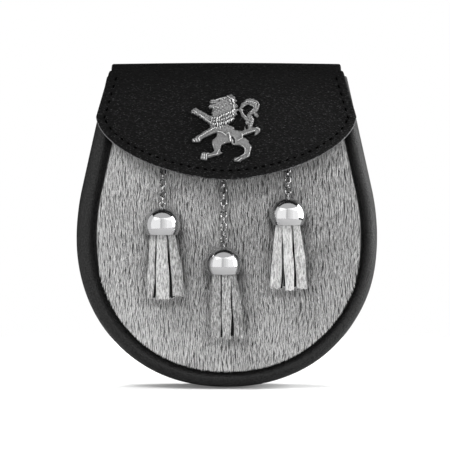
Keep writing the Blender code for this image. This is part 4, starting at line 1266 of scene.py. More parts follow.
def coat(size, look, part, parts):
    """Hairs of one upright band of the front.

    A hair is a flat blade of four sections. At share s of its length it lies at
    root + length * s * (sin a, -cos a), drawn towards the middle of its lock by s^1.5, and it
    stands off the hide by lift * (1 - (1 - s)^2) * (1 - 0.45 s^2), less where the flap lies close
    above. Gives points, faces and tones."""
    rng = np.random.default_rng(11 + part)
    x, height = coat_roots(size, look, part, parts, rng)
    count = len(x)
    lock_x, rise, shade, turn = coat_locks(look, x, height)
    angle = 0.10 * drift(x, height, 0.040, 9) + 0.16 * (turn - 0.5) + rng.normal(0.0, 0.07, count)
    length = look.hair * rng.uniform(0.70, 1.15, count) * (0.85 + 0.3 * rise)
    edge_x, edge_height, _, _ = fur_edge(size)
    low_part = edge_height < size.widest_height
    room = height - np.interp(x, edge_x[low_part], edge_height[low_part]) + SEAM_EASE
    length = np.minimum(length, np.maximum(room, SHORTEST_HAIR))
    lift = look.lift * (0.50 + 0.45 * rise + rng.uniform(-0.15, 0.35, count))
    lift *= np.clip(length / (0.6 * look.hair), 0.35, 1.0)
    pull = 0.90 * (lock_x - x)

    s = np.array([0.0, 0.34, 0.70, 1.0])[None, :]
    middle_x = x[:, None] + np.sin(angle)[:, None] * length[:, None] * s + pull[:, None] * s**1.5
    middle_height = height[:, None] - np.cos(angle)[:, None] * length[:, None] * s
    off = lift[:, None] * (1.0 - (1.0 - s) ** 2) * (1.0 - 0.45 * s**2)
    hide = fur_depth(size, middle_x, middle_height)
    roof = flap_depth(size, middle_x, middle_height) - size.flap_thickness
    under = middle_height > flap_lower_edge(size, flap_share(middle_x, middle_height)) - 0.001
    off = np.where(under, np.minimum(off, 0.75 * (roof - hide)), off)
    centre = place(middle_x, hide + off, middle_height)

    roll = rng.normal(0.0, 0.45, count)
    lean = angle + pull / np.maximum(length, 1e-4)
    side = points_of(np.cos(lean) * np.cos(roll), -np.sin(roll), np.sin(lean) * np.cos(roll))
    width = look.thickness * rng.uniform(0.7, 1.2, count)[:, None] * np.array([1.0, 0.95, 0.70])
    across = side[:, None] * (width / 2)[:, :, None]
    blades = np.stack([centre[:, :3] - across, centre[:, :3] + across], axis=2).reshape(count, 6, 3)
    points = np.concatenate([blades, centre[:, 3:]], axis=1).reshape(-1, 3)
    start = (np.arange(count) * 7)[:, None, None]
    quads = (np.array([[0, 2, 3, 1], [2, 4, 5, 3]]) + start).reshape(-1, 4)
    tips = (np.array([[4, 6, 5]]) + start).reshape(-1, 3)
    tone = coat_tone(look, x, height, lock_x, shade, rng.normal(0.0, HAIR_TONE_SPREAD, count))
    along = np.array([0.72, 0.72, 0.95, 0.95, 1.08, 1.08, 1.15])
    return points, (quads, tips), np.clip(tone[:, None] * along, 0.0, 1.0).ravel()


class SPORRAN_OT_fur(bpy.types.Operator):
    """Fur front: the crowned hide and its coat of short grey hair, brushed down in small locks"""

    bl_idname = "sporran.fur"
    bl_label = "Fur Front"

    PARTS = 4

    def execute(self, context):
        size, look = context.scene.sporran_sizes, context.scene.sporran_fur
        x, height, out_x, out_height = fur_edge(size)
        half = HIDE_THICKNESS / 2
        edge = closed_over_top(x - half * out_x, height - half * out_height, out_x, out_height)

        def depth_of(x, height):
            return fur_depth(size, x, height)

        points, faces, masks = plate(*edge, CROWN_CENTRE, depth_of, HIDE_THICKNESS, 60)
        add_piece("hide_panel", points, faces, hide_material(look), ["fur_front"], masks)
        material = hair_material(look)
        for part in range(self.PARTS):
            points, faces, tones = coat(size, look, part, self.PARTS)
            name, masks = f"hair_coat_{part + 1}", {"tone": tones}
            add_piece(name, points, faces, material, masks=masks, outward=False)
        return {"FINISHED"}


# ---------------------------------------------------------------- flap
def leaf_outline(size, inset):
    """The front leaf's outline from its left top down, along the lower curve and up the right.

    The outline is moved inwards along its normals by the inset. Gives x and height."""
    top = FLAP_TOP - FRONT_BEND
    side_height = np.linspace(top, FLAP_CORNER, 40)[:-1]
    side_x = flap_half_width(side_height)
    across = -np.cos(np.linspace(0.0, math.pi, 241))
    low_height = flap_lower_edge(size, across)
    low_x = across * flap_half_width(low_height)
    x = FLAP_SHIFT + np.concatenate([-side_x, low_x, side_x[::-1]])
    height = np.concatenate([side_height, low_height, side_height[::-1]])
    out_x, out_height = outward_of(x, height)
    return x - inset * out_x, height - inset * out_height


def flap_face(size, dimples):
    """Outer face of the flap as one grid: tail, turn over the mouth and front leaf.

    Both bends are quarter rounds. The leaf's rows share out the way from the turn to the lower
    edge, and a dimple is a small bell-shaped hollow at each stitch."""
    half = size.flap_thickness / 2
    across = -np.cos(np.linspace(0.0, math.pi, 241))
    low_x, low_height = (line[39:-39] for line in leaf_outline(size, half))
    turn_height = FLAP_TOP + FLAP_TOP_BOW * (1.0 - across**2)
    turn_x = FLAP_SHIFT + across * (FLAP_TOP_HALF - half)
    tail = -(GAP + size.flap_thickness)
    front = flap_depth(size, turn_x, turn_height - FRONT_BEND)
    rows = []
    for height in np.linspace(FLAP_TAIL_LOW + half, turn_height - REAR_BEND, 14):
        rows.append(place(turn_x, tail, height))
    for turn in np.radians(np.linspace(0.0, 90.0, 10))[1:]:
        depth = tail + REAR_BEND * (1.0 - math.cos(turn))
        rows.append(place(turn_x, depth, turn_height - REAR_BEND * (1.0 - math.sin(turn))))
    for part in np.linspace(0.0, 1.0, 8)[1:-1]:
        depth = tail + REAR_BEND + part * (front - FRONT_BEND - tail - REAR_BEND)
        rows.append(place(turn_x, depth, turn_height))
    for turn in np.radians(np.linspace(90.0, 0.0, 12))[:-1]:
        depth = front - FRONT_BEND * (1.0 - math.cos(turn))
        rows.append(place(turn_x, depth, turn_height - FRONT_BEND * (1.0 - math.sin(turn))))
    leaf_top = turn_height - FRONT_BEND
    low_width = FLAP_SHIFT + across * (flap_half_width(low_height) - half)
    for part in np.linspace(0.0, 1.0, 96):
        height = leaf_top + part * (low_height - leaf_top)
        x = FLAP_SHIFT + across * (flap_half_width(height) - half) + part**2 * (low_x - low_width)
        depth = flap_depth(size, x, height) - dimples(x, height)
        depth = depth + LEAF_UNEVEN * part * drift(x, height, 0.035, 21)
        rows.append(place(x, depth, height))
    return np.stack(rows)


class SPORRAN_OT_flap(bpy.types.Operator):
    """Flap: one piece of pebbled leather with burnished edges, a painted highlight on its lower edge,
    painted shade over its top and sunk black stitching
    """

    bl_idname = "sporran.flap"
    bl_label = "Flap"

    def execute(self, context):
        size, look = context.scene.sporran_sizes, context.scene.sporran_leather
        stitching = context.scene.sporran_stitching
        x, height = leaf_outline(size, stitching.inset)
        line = place(x, flap_depth(size, x, height), height)
        slope = (flap_depth(size, x, height - 0.001) - flap_depth(size, x, height + 0.001)) / 0.002
        forward = points_of(0.0, -1.0, slope)
        forward /= np.linalg.norm(forward, axis=1, keepdims=True)
        tail_x = FLAP_SHIFT + np.linspace(-1.0, 1.0, 40) * (FLAP_TOP_HALF - TAIL_SEAM_INSET)
        tail = place(tail_x, -(GAP + size.flap_thickness), FLAP_TAIL_LOW + TAIL_SEAM_RISE)
        thread = thread_material(look)
        spots, along = sew("flap_stitching", [(line, forward)], context, thread, 0.45)
        sew("tail_stitching", [(tail, BACKWARD)], context, thread, 0.15)

        def dimples(x, height):
            """Bell-shaped hollows, longer along the seam than across it."""
            deep = np.zeros(np.shape(x))
            for (spot_x, _, spot_z), (along_x, _, along_z) in zip(spots, along):
                dx, dz = x - spot_x, height - ORIGIN_HEIGHT - spot_z
                run, off = dx * along_x + dz * along_z, dz * along_x - dx * along_z
                deep += np.exp(-((run / (0.75 * stitching.stitch)) ** 2) - (off / DIMPLE_REACH) ** 2)
            return stitching.dimple * np.clip(deep, 0.0, 1.0)

        points, quads, masks = closed_sheet(flap_face(size, dimples), size.flap_thickness, FLAP_RIM_WEAR_AND_HIGHLIGHT)
        # the burnished edge colour only on the lower edge and stronger towards the corners: partly wear,
        # partly a painted highlight
        below = np.clip((FLAP_CORNER + 0.001 - ORIGIN_HEIGHT - points[:, 2]) / 0.003, 0.0, 1.0)
        masks["edge"] = masks["edge"] * below * (0.62 + 0.5 * np.abs(points[:, 0]) / FLAP_CORNER_HALF)
        # painted shade: darkest on the turn at the top, fading down the leaf
        painted_fold_shade = 1.0 + (points[:, 2] + ORIGIN_HEIGHT - FLAP_TOP) / FOLD_SHADE_LENGTH
        masks["painted_fold_shade"] = np.clip(painted_fold_shade, 0.0, 1.0) ** 1.5
        # the edge colour is made brighter by its factor, as a painted highlight
        material = leather(
            "flap_leather", look, look.colour, 1.45, 5.0, 3.2, specular=0.12, wear_and_highlight=3.6, painted_glint_factor=20.0
        )
        add_piece("flap_leather", points, [quads], material, ["flap"], masks)
        return {"FINISHED"}


class SPORRAN_OT_loops(bpy.types.Operator):
    """Rear loops: a strap whose feet are sewn to the back, and the hidden closure's finish"""

    bl_idname = "sporran.loops"
    bl_label = "Rear Loops and Closure"

    def execute(self, context):
        size, look = context.scene.sporran_sizes, context.scene.sporran_leather
        thick, half = LOOP_THICKNESS, LOOP_THICKNESS / 2
        up = np.linspace(-LOOP_HALF_LENGTH + half, LOOP_HALF_LENGTH - half, 90)[:, None]
        rise = np.clip((LOOP_RISE_FROM - np.abs(up)) / LOOP_RISE, 0.0, 1.0)
        rise = rise * rise * (3.0 - 2.0 * rise)
        depth = -(GAP + thick) - (STRAP_SPACE - GAP) * rise
        across = np.linspace(-0.5, 0.5, 25) * (size.loop_width - thick)
        material = leather("loop_leather", look, look.colour, 0.9, 0.8)
        thread = thread_material(look)
        lines = []
        for side, sign in (("left", -1), ("right", 1)):
            middle = sign * size.loop_spacing / 2
            face = place(middle + across, depth, ORIGIN_HEIGHT + up)
            points, quads, masks = closed_sheet(face, thick)
            name, nodes = f"strap_loop_{side}", [f"belt_loop_{side}"]
            add_piece(name, points, [quads], material, nodes, masks)
            x = middle + np.linspace(-0.5, 0.5, 12) * (size.loop_width - 2 * LOOP_SEAM_INSET)
            for foot in (-1, 1):
                for level in LOOP_SEAMS:
                    line = place(x, -(GAP + thick), ORIGIN_HEIGHT + foot * level)
                    lines.append((line, BACKWARD))
        sew("loop_stitching", lines, context, thread, 0.2)
        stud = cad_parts["snap_stud"]
        stud.data.materials.clear()
        stud.data.materials.append(antique_material(context.scene.sporran_metal, "stud_metal", False))
        return {"FINISHED"}


# ---------------------------------------------------------------- lion
def stroke_distance(x, z, stroke):
    """Signed distance to a tapered stroke: from its middle line, less its radius there."""
    x0, z0, r0, x1, z1, r1 = stroke
    dx, dz = x1 - x0, z1 - z0
    part = np.clip(((x - x0) * dx + (z - z0) * dz) / max(dx * dx + dz * dz, 1e-9), 0.0, 1.0)
    return np.hypot(x - x0 - part * dx, z - z0 - part * dz) - (r0 + part * (r1 - r0))


def curl_strokes(points, steps=5):
    """Short strokes along a smooth curve through places with radii.

    Between two places it is a cubic, whose slope at each is half the way from the one before that
    place to the one after."""
    points = np.array(points)
    ends = np.vstack([points[:1], points, points[-1:]])
    a, b, c, d = ends[:-3], ends[1:-2], ends[2:-1], ends[3:]
    t = (np.arange(steps) / steps)[:, None, None]
    curve = b + 0.5 * ((c - a) * t + (2 * a - 5 * b + 4 * c - d) * t**2 + (3 * b - a - 3 * c + d) * t**3)
    curve = np.vstack([curve.transpose(1, 0, 2).reshape(-1, 3), points[-1:]])
    return np.hstack([curve[:-1], curve[1:]]).tolist()


def lion_strokes():
    return [*LION, *((*stroke, tall) for points, tall in CURLS for stroke in curl_strokes(points))]


def lion_shape(x, z):
    """Signed distance to the whole lion, and its height there.

    The distance is a soft minimum of the strokes' distances, made ragged by small waves above the
    haunches, and the height is the mean of the strokes' heights, weighted by how near each is."""
    total, weight, height = 0.0, 0.0, 0.0
    for *stroke, tall in lion_strokes():
        away = stroke_distance(x, z, stroke)
        total = total + np.exp(-np.clip(away, -3.0, 9.0) / LION_BLEND)
        near = np.exp(-np.clip(away, -3.0, 9.0) / 0.7)
        weight = weight + near
        height = height + near * tall
    ragged = LION_RAGGED * np.clip((z + 4.0) / 4.0, 0.0, 1.0) * drift(x, z, 1.4, 41)
    return ragged - LION_BLEND * np.log(total), height / weight


def across_strokes(x, z, strokes, radius):
    """Half an ellipse across the strokes: 1 on their middle line, falling to 0 at the radius."""
    away = np.min([stroke_distance(x, z, stroke) for stroke in strokes], axis=0)
    return np.sqrt(np.clip(-away / radius, 0.0, 1.0))


def polyline_strokes(points, radius):
    return [(*start, radius, *end, radius) for start, end in zip(points[:-1], points[1:])]


def tuft_strokes(points, count, length, radius, lean):
    """Short strokes at even places along a row, each a drop that tapers to its tip."""
    points = np.array(points)
    run = np.concatenate([[0.0], np.cumsum(np.linalg.norm(np.diff(points, axis=0), axis=1))])
    at = np.linspace(0.0, run[-1], count)
    x, z = np.interp(at, run, points[:, 0]), np.interp(at, run, points[:, 1])
    number = np.arange(count)
    turn = np.radians(lean + 16.0 * np.sin(4.3 * number))
    reach = length * (1.15 + 0.35 * np.sin(5.1 * number + count))
    wide = radius * (1.1 + 0.2 * np.sin(3.7 * number))
    tip_x, tip_z = x + reach * np.sin(turn), z - reach * np.cos(turn)
    return np.stack([x, z, wide, tip_x, tip_z, 0.3 * wide], axis=-1).tolist()


def relief_detail(x, z):
    """Ridges, tufts and hollows on the lion, each a half ellipse across its stroke, and tooling.

    The tooling is two fields of small waves, weaker on the haunches."""
    detail = np.zeros(np.shape(x))
    for points, radius, tall in RIDGES:
        ridge = across_strokes(x, z, polyline_strokes(points, radius), radius)
        detail = np.maximum(detail, tall * ridge)
    for points, count, length, radius, tall, lean in TUFTS:
        tufts = across_strokes(x, z, tuft_strokes(points, count, length, radius, lean), radius)
        detail = np.maximum(detail, tall * tufts)
    for points, radius, deep in HOLLOWS:
        hollow = across_strokes(x, z, polyline_strokes(points, radius), radius)
        detail = np.where(hollow > 0.0, -deep * hollow, detail)
    tooled = np.clip((z + 4.0) / 4.0, 0.25, 1.0)
    return detail + tooled * (0.09 * drift(x, z, 1.3, 31) + 0.05 * drift(x, z, 0.7, 37))


def blurred(field, width):
    """A field blurred with a bell-shaped weight of that many cells, as a product of spectra."""
    rate_z = np.fft.fftfreq(field.shape[0])[:, None]
    rate_x = np.fft.fftfreq(field.shape[1])[None, :]
    filter_shape = np.exp(-2 * (math.pi * width) ** 2 * (rate_x**2 + rate_z**2))
    return np.real(np.fft.ifft2(np.fft.fft2(field) * filter_shape))


def drawn_to_outline(x, z, step=0.01):
    """Points moved onto the lion's outline, in three steps of the distance over the slope."""
    for _ in range(3):
        here = lion_shape(x, z)[0]
        slope_x = (lion_shape(x + step, z)[0] - here) / step
        slope_z = (lion_shape(x, z + step)[0] - here) / step
        steep = np.maximum(slope_x**2 + slope_z**2, 0.2)
        x, z = x - here * slope_x / steep, z - here * slope_z / steep
    return x, z


def lion_mesh(step):
    """The lion as a relief over a fine grid, in metres from its middle, and how rubbed it is.

    Its top is wall + (height - sink - wall) * sqrt(1 - (1 - q)^2) + detail, where q is the depth
    inside the outline over the rounding, at most 1. Points just outside are drawn onto the
    outline, walls drop from there to the foot, and the foot is flat. Detail that stands above what
    is round it is rubbed."""
    span = np.arange(-LION_REACH, LION_REACH, step)
    x, z = np.meshgrid(span, span)
    away, height = lion_shape(x, z)
    inside = away < 0.0
    used = inside[:-1, :-1] | inside[1:, :-1] | inside[:-1, 1:] | inside[1:, 1:]
    corner = np.zeros(inside.shape, bool)
    for rows in (slice(None, -1), slice(1, None)):
        for columns in (slice(None, -1), slice(1, None)):
            corner[rows, columns] |= used
    outer = corner & ~inside
    x[outer], z[outer] = drawn_to_outline(x[outer], z[outer])
    q = np.clip(-away / LION_ROUNDING, 0.0, 1.0)
    dome = np.sqrt(1.0 - (1.0 - q) ** 2)
    detail = relief_detail(x, z) * np.clip(-away / 0.30, 0.0, 1.0)
    top = LION_WALL + (height - LION_SINK - LION_WALL) * dome + detail
    top = np.where(inside, top, LION_WALL)
    rubbed = 0.45 + 1.2 * (detail - blurred(detail, 0.7 / step)) - 0.15 * np.exp(away / 0.35)
    total = int(corner.sum())
    number = np.full(inside.shape, -1)
    number[corner] = np.arange(total)
    points = points_of(x[corner], -top[corner], z[corner])
    foot = points * np.array([1.0, 0.0, 1.0])
    tops = grid_quads(number)[used.ravel()]
    padded = np.pad(used, 1)
    across = padded[1:, 1:-1] != padded[:-1, 1:-1]
    upright = padded[1:-1, 1:] != padded[1:-1, :-1]
    starts = np.concatenate([number[:, :-1][across], number[:-1, :][upright]])
    ends = np.concatenate([number[:, 1:][across], number[1:, :][upright]])
    walls = np.stack([starts, ends, ends + total, starts + total], axis=-1)
    faces = np.concatenate([tops, tops[:, ::-1] + total, walls])
    rubbed = np.clip(np.concatenate([rubbed[corner], np.full(total, 0.2)]), 0.0, 1.0)
    return np.concatenate([points, foot]) * 0.001, faces, rubbed


class SPORRAN_OT_lion(bpy.types.Operator):
    """Cast rampant lion, in antique metal, seated on the flap"""

    bl_idname = "sporran.lion"
    bl_label = "Lion Badge"

    def execute(self, context):
        size, look = context.scene.sporran_sizes, context.scene.sporran_metal
        points, faces, rubbed = lion_mesh(look.relief * 1000.0)
        low, high = (flap_depth(size, BADGE_X, BADGE_HEIGHT + up) for up in (-BADGE_REACH, BADGE_REACH))
        slope = float(low - high) / (2 * BADGE_REACH)
        over = np.linspace(-BADGE_REACH, BADGE_REACH, 9)
        rise = flap_depth(size, BADGE_X + over[None, :], BADGE_HEIGHT + over[:, None])
        rise = rise + slope * over[:, None]
        points = leant(points, -math.atan(slope))
        points = points + place(BADGE_X, float(rise.max()) + GAP, BADGE_HEIGHT)
        material, masks = antique_material(look), {"rubbed": rubbed}
        add_piece("rampant_lion", points, [faces], material, ["lion_badge"], masks)
        return {"FINISHED"}


# ---------------------------------------------------------------- chains and tassels
def link_pitch(look):
    """From one link's middle to the next, drawn taut."""
    return look.link_length - 2 * look.link_wire - LINK_CLEARANCE


def link_hold(look):
    """From a link's middle to the middle of the wire that it holds."""
    return look.link_length / 2 - look.link_wire - LINK_CLEARANCE - EYE_WIRE / 2


def ball_middle(size, look, x, height):
    """The ball leans on the hair of the front."""
    return place(x, float(fur_depth(size, x, height)) + BALL_STANDOFF + look.ball_radius, height)


def chain_ends(size, look, x, height, links):
    """Middles of the staple's and the eye's wire, a taut chain apart."""
    eye = ball_middle(size, look, x, height) + [0.0, 0.0, look.ball_radius + EYE_HEIGHT + EYE_RADIUS]
    taut = 2 * link_hold(look) + (links - 1) * link_pitch(look)
    staple = eye + [0.0, 0.0, taut]
    for _ in range(6):
        depth = float(fur_depth(size, x, staple[2] + ORIGIN_HEIGHT)) + STAPLE_REACH
        back = (REAR_FACE_Y - depth) - eye[1]
        staple = eye + [0.0, back, math.sqrt(taut**2 - back**2)]
    return staple, eye


def chain_mesh(size, look, x, height, links):
    """Stadium links of round wire, each turned a quarter from the last, and the staple above."""
    staple, eye = chain_ends(size, look, x, height, links)
    radius = (look.link_width - look.link_wire) / 2
    straight = (look.link_length - look.link_width) / 2
    turn = np.linspace(0.0, 2 * math.pi, 32, endpoint=False)
    level = radius * np.sin(turn) + straight * np.sign(np.sin(turn))
    path = points_of(radius * np.cos(turn), 0.0, level)
    path = np.insert(path, [1, 16], [[radius, 0, straight], [-radius, 0, straight]], axis=0)
    path = np.concatenate([path, [[radius, 0, -straight]]])
    path[0] = [radius, 0.0, 0.0]
    path[18] = [-radius, 0.0, 0.0]
    link, quads = wire(path, (0.0, 1.0, 0.0), look.link_wire / 2)
    along = (eye - staple) / np.linalg.norm(eye - staple)
    lean = math.atan2(along[1], -along[2])
    parts = []
    for number in range(links):
        body = link if number % 2 else link[:, [1, 0, 2]] * [-1.0, 1.0, 1.0]
        middle = staple + along * (link_hold(look) + number * link_pitch(look))
        parts.append((leant(body, lean) + middle, quads))
    half = np.linspace(math.pi, 0.0, 15)
    bow = points_of(STAPLE_RADIUS * np.cos(half), STAPLE_RADIUS * (1.0 - np.sin(half)), 0.0)
    leg = STAPLE_REACH + 0.0004
    bow = np.concatenate([[[-STAPLE_RADIUS, leg, 0.0]], bow, [[STAPLE_RADIUS, leg, 0.0]]])
    points, quads = wire(bow, (0.0, 0.0, 1.0), STAPLE_WIRE / 2, closed=False)
    return joined([*parts, (points + staple, quads)])


class SPORRAN_OT_chains(bpy.types.Operator):
    """Three cable chains of chromed wire, each hung from its staple"""

    bl_idname = "sporran.chains"
    bl_label = "Chains"

    def execute(self, context):
        size, look = context.scene.sporran_sizes, context.scene.sporran_tassels
        material = chrome_material("chain_chrome", context.scene.sporran_metal.chain, 0.14, 0.06)
        for side, x, height, links in TASSELS:
            points, quads = chain_mesh(size, look, x, height, links)
            nodes = [f"chain_{side}_link_{number + 1:02d}" for number in range(links)]
            nodes.append(f"staple_{side}")
            masks = {"tarnish_and_reflection": np.full(len(points), 0.95)}
            add_piece(f"cable_chain_{side}", points, [quads], material, nodes, masks)
        return {"FINISHED"}


class SPORRAN_OT_balls(bpy.types.Operator):
    """Three chromed ball caps with a rolled mouth and an eye on a bead of solder"""

    bl_idname = "sporran.balls"
    bl_label = "Ball Caps"

    def execute(self, context):
        size, look = context.scene.sporran_sizes, context.scene.sporran_tassels
        material = chrome_material("ball_chrome", context.scene.sporran_metal.chrome, 0.105, 0.03)
        radius, inner = look.ball_radius, look.ball_radius - BALL_WALL
        outside = np.linspace(0.0, math.acos(-BALL_CUT / radius), 44)
        hollow = np.linspace(math.acos(-BALL_CUT / inner), 0.0, 24)
        lip = np.radians(np.linspace(20.0, 160.0, 6))
        mouth, bore = radius * math.sin(outside[-1]), inner * math.sin(hollow[0])
        lip_radius, lip_half = (mouth + bore) / 2, (mouth - bore) / 2
        widths = [radius * np.sin(outside), lip_radius + lip_half * np.cos(lip), inner * np.sin(hollow)]
        levels = [radius * np.cos(outside), -BALL_CUT - lip_half * np.sin(lip), inner * np.cos(hollow)]
        ball, quads, fans = turned(np.concatenate(widths), np.concatenate(levels), 72)
        down = np.linspace(0.0, math.pi, 9)
        bead, bead_quads, bead_fans = turned(
            SOLDER_RADIUS * np.sin(down), radius + SOLDER_HEIGHT * np.cos(down), 20
        )
        turn = np.linspace(0.0, 2 * math.pi, 32, endpoint=False)
        for side, x, height, links in TASSELS:
            middle = ball_middle(size, look, x, height)
            ring = points_of(EYE_RADIUS * np.cos(turn), 0.0, EYE_RADIUS * np.sin(turn))
            flat = (0.0, 1.0, 0.0)
            if (links + 1) % 2:
                ring, flat = ring[:, [1, 0, 2]], (1.0, 0.0, 0.0)
            eye, eye_quads = wire(ring + [0.0, 0.0, radius + EYE_HEIGHT], flat, EYE_WIRE / 2)
            points = np.concatenate([ball, bead, eye]) + middle
            start = (len(ball), len(ball) + len(bead))
            faces = [quads, fans, bead_quads + start[0], bead_fans + start[0], eye_quads + start[1]]
            name, nodes = f"ball_cap_{side}", [f"ball_{side}"]
            masks = {"tarnish_and_reflection": 0.85 * (np.arange(len(points)) >= len(ball))}
            add_piece(name, points, faces, material, nodes, masks, sharp=50.0)
        return {"FINISHED"}


def strip_face(row, number, rows=44, columns=11):
    """Outer face of one suede strip, from inside the head down to its cut end.

    The middle runs from the mouth's ring to the end's place by s + ease * s * (1 - s), and the face
    turns with it. It is cupped by the square of the way across, and waves a little further down."""
    mouth_deg, end_x, end_depth, end_deg, width, drop = row
    s = np.linspace(0.0, 1.0, rows)[:, None]
    ease = s * (1.0 + STRIP_EASE * (1.0 - s))
    mouth = math.radians(mouth_deg)
    turn = mouth + (math.radians(end_deg) - mouth) * ease
    half = (STRIP_MOUTH_WIDTH + (width - STRIP_MOUTH_WIDTH) * ease) / 2 - 0.0007
    uneven = 1.0 + 0.035 * np.sin(9.0 * s + 1.7 * number) * s
    off = np.linspace(-1.0, 1.0, columns)[None, :]
    wave = 0.00035 * s * np.sin(7.5 * s + 2.1 * number) - 0.00030 * s * off**2
    wave = wave + 0.00018 * s * np.sin(5.0 * off + 11.0 * s + number)
    x = STRIP_MOUTH_RADIUS * math.sin(mouth) * (1.0 - ease) + end_x * ease
    depth = STRIP_MOUTH_RADIUS * math.cos(mouth) * (1.0 - ease) + end_depth * ease
    x = x + half * uneven * off * np.cos(turn) + wave * np.sin(turn)
    depth = depth - half * off * np.sin(turn) + wave * np.cos(turn)
    level = STRIP_TOP + (drop - 0.0007 - STRIP_TOP) * s
    ragged = 0.0004 * np.sin(6.0 * off + 1.3 * number) * s**8
    return points_of(x, -depth, -(level + ragged))


class SPORRAN_OT_tassels(bpy.types.Operator):
    """Three bundles of suede strips, gathered on a round head inside each ball"""

    bl_idname = "sporran.tassels"
    bl_label = "Suede Tassels"

    def execute(self, context):
        size, look = context.scene.sporran_sizes, context.scene.sporran_tassels
        material = suede_material(look)
        turn = np.linspace(0.0, math.pi, 14)
        head_radius = HEAD_RADIUS * np.sin(turn) ** 0.5
        head_radius[[0, -1]] = 0.0
        head_level = (HEAD_TOP - HEAD_LOW) / 2 + (HEAD_TOP + HEAD_LOW) / 2 * np.cos(turn)
        head, head_quads, head_fans = turned(head_radius, head_level, 36)
        for side, x, height, _ in TASSELS:
            parts, none = [(head, head_quads)], np.zeros(len(head))
            # the head takes the same painted shade as the strips' inner faces
            masks = {"edge": [none], "nap": [none], "inside": [none + 1.0]}
            for number, row in enumerate(STRIPS[side]):
                points, quads, found = closed_sheet(strip_face(row, number), look.strip_thickness)
                parts.append((points, quads))
                tone = NAP_TONES[side] + 0.06 * math.sin(2.3 * number)
                for label, values in {**found, "nap": np.full(len(points), tone)}.items():
                    masks[label].append(values)
            points, quads = joined(parts)
            points, faces = points + ball_middle(size, look, x, height), [quads, head_fans]
            name, nodes = f"suede_strips_{side}", [f"tassel_{side}"]
            masks = {label: np.concatenate(values) for label, values in masks.items()}
            add_piece(name, points, faces, material, nodes, masks)
        return {"FINISHED"}


# ---------------------------------------------------------------- stage
def aim(thing, target):
    """Turn a light or camera so that it looks at a point."""
    thing.rotation_mode = "QUATERNION"
    thing.rotation_quaternion = (Vector(target) - thing.location).to_track_quat("-Z", "Y")


def softbox(name, azimuth, elevation, distance, width, height, power, mirrored=True):
    """A rectangular soft light at an azimuth from the front, aimed at the pouch.

    Polished metal shows it only where mirrored is true."""
    light = bpy.data.lights.new(name, "AREA")
    light.shape = "RECTANGLE"
    light.size, light.size_y, light.energy = width, height, power
    lamp = bpy.data.objects.new(name, light)
    a, e = math.radians(azimuth), math.radians(elevation)
    lamp.location = (
        distance * math.sin(a) * math.cos(e),
        -distance * math.cos(a) * math.cos(e),
        AIM[2] + distance * math.sin(e),
    )
    aim(lamp, AIM)
    lamp.visible_camera = False
    lamp.visible_glossy = mirrored
    bpy.context.scene.collection.objects.link(lamp)


def floor_material(look):
    """Pale matt floor with a faint mottle, which fades out into the white around it, and is darker where it
    is seen in reflections, as painted shade.
    """
    material, nodes = new_material("pale_floor")
    away = nodes.vector("ADD", nodes.where(), (0.0, 0.0, ORIGIN_HEIGHT))
    away = nodes.add("VectorMath", {0: away}, operation="LENGTH").outputs["Value"]
    mottle = nodes.noise(60.0, 3.0)
    tint = nodes.mix(nodes.range(mottle, 0.3, 0.7), look.floor, scaled(look.floor, 0.985))
    ray = nodes.add("LightPath").outputs
    # painted shade: seen in reflections, the floor is darker
    tint = nodes.mix(ray["Is Glossy Ray"], tint, scaled(look.floor, 0.42))
    nodes.shade(
        Base_Color=tint,
        Roughness=0.8,
        Specular_IOR_Level=0.2,
        Alpha=nodes.range(away, *FLOOR_FADE, 1.0, 0.0),
        Emission_Color=ray["Is Camera Ray"],
        Emission_Strength=look.floor_glow,
    )
    return material


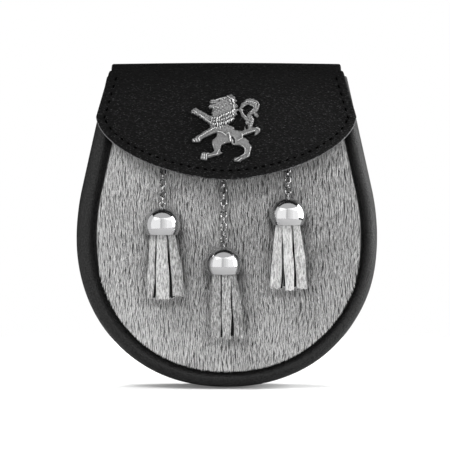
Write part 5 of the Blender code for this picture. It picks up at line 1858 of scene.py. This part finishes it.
class SPORRAN_OT_stage(bpy.types.Operator):
    """Pale floor, soft studio lights, a white surround and the camera of the photograph"""

    bl_idname = "sporran.stage"
    bl_label = "Stage, Light and Camera"

    def execute(self, context):
        scene, look = context.scene, context.scene.sporran_stage
        radius = np.array([0.0, 0.05, 0.1, 0.2, 0.35, 0.5, 0.8])[:, None]
        turn = np.linspace(0.0, 2 * math.pi, 64, endpoint=False)
        low = -ORIGIN_HEIGHT - FLOOR_DROP
        points = points_of(radius[1:] * np.cos(turn), radius[1:] * np.sin(turn), low).reshape(-1, 3)
        index = np.arange(len(points)).reshape(-1, 64)
        fan = np.stack([np.full(64, len(points)), index[0], np.roll(index[0], -1)], axis=-1)
        points = np.concatenate([points, [[0.0, 0.0, low]]])
        mesh = mesh_from("pale_floor", points, [loop_quads(index[::-1]), fan], outward=False)
        mesh.materials.append(floor_material(look))
        floor = bpy.data.objects.new("pale_floor", mesh)
        scene.collection.objects.link(floor)

        panels = (
            # name, azimuth, elevation, distance, width, height, share of the tent's brightness
            ("panel_middle", -6.5, 0.0, 1.12, 0.255, 2.1, 0.58),
            ("panel_near", 7.0, 0.0, 1.11, 0.27, 2.15, 0.74),
            ("panel_next", 22.0, 0.0, 1.1, 0.31, 2.2, 0.88),
            ("panel_right", 52.0, 0.0, 1.1, 0.90, 2.2, 1.05),
            ("panel_left", -44.5, 0.0, 1.1, 1.35, 2.2, 1.0),
            ("side_right", 97.0, 16.0, 1.1, 1.1, 1.1, 4.9),
            ("side_left", -96.0, 0.0, 1.1, 0.8, 2.0, 0.6),
            ("top_panel", 0.0, 62.0, 1.1, 2.4, 0.9, 0.50),
        )
        for *place_and_size, part in panels:
            width, height = place_and_size[-2:]
            softbox(*place_and_size, 4.0 * width * height * part * look.tent)
        softbox("key", -35.0, 52.0, 1.0, 0.4, 0.4, look.key, False)
        softbox("rear_light", 180.0, 65.0, 1.0, 0.8, 0.6, look.rear_light, False)

        world = bpy.data.worlds.new("white_surround")
        world.use_nodes = True
        nodes = Nodes(world.node_tree)
        background = world.node_tree.nodes["Background"]
        ray = nodes.add("LightPath").outputs
        strength = nodes.range(ray["Is Glossy Ray"], 0.0, 1.0, look.ambient, 0.12 * look.ambient)
        strength = nodes.math("MAXIMUM", strength, ray["Is Camera Ray"])
        nodes.feed(background.inputs["Strength"], strength)
        nodes.feed(background.inputs["Color"], (1.0, 1.0, 1.0))
        scene.world = world
        scene.view_settings.view_transform = "Standard"

        lens = bpy.data.cameras.new("photo_camera")
        lens.lens = look.lens
        camera = bpy.data.objects.new("photo_camera", lens)
        target = Vector(VIEW_CENTRE)
        distance = look.view_width / 2 / (lens.sensor_width / 2 / lens.lens)
        back = Vector((0.0, -math.cos(look.elevation), math.sin(look.elevation)))
        camera.location = target + distance * back
        aim(camera, target)
        scene.collection.objects.link(camera)
        scene.camera = camera
        return {"FINISHED"}


PIECES = (
    SPORRAN_OT_gusset,
    SPORRAN_OT_back,
    SPORRAN_OT_fur,
    SPORRAN_OT_flap,
    SPORRAN_OT_loops,
    SPORRAN_OT_lion,
    SPORRAN_OT_chains,
    SPORRAN_OT_balls,
    SPORRAN_OT_tassels,
    SPORRAN_OT_stage,
)


class SPORRAN_PT_panel(bpy.types.Panel):
    """Sizes, finishes and pieces of the sporran pouch"""

    bl_idname = "SPORRAN_PT_panel"
    bl_label = "Sporran Pouch"
    bl_space_type = "VIEW_3D"
    bl_region_type = "UI"
    bl_category = "Sporran"

    def draw(self, context):
        layout = self.layout
        for name, kind in GROUPS.items():
            box = layout.box()
            for field in kind.__annotations__:
                box.prop(getattr(context.scene, name), field)
        for piece in PIECES:
            layout.operator(piece.bl_idname)


def register():
    for name, kind in GROUPS.items():
        bpy.utils.register_class(kind)
        setattr(bpy.types.Scene, name, PointerProperty(type=kind))
    for kind in (*PIECES, SPORRAN_PT_panel):
        bpy.utils.register_class(kind)


def unregister():
    for kind in (SPORRAN_PT_panel, *reversed(PIECES)):
        bpy.utils.unregister_class(kind)
    for name, kind in GROUPS.items():
        delattr(bpy.types.Scene, name)
        bpy.utils.unregister_class(kind)


def main():
    """Make every piece in order."""
    register()
    for piece in PIECES:
        getattr(bpy.ops.sporran, piece.bl_idname.split(".")[1])()


if __name__ == "__main__":
    main()
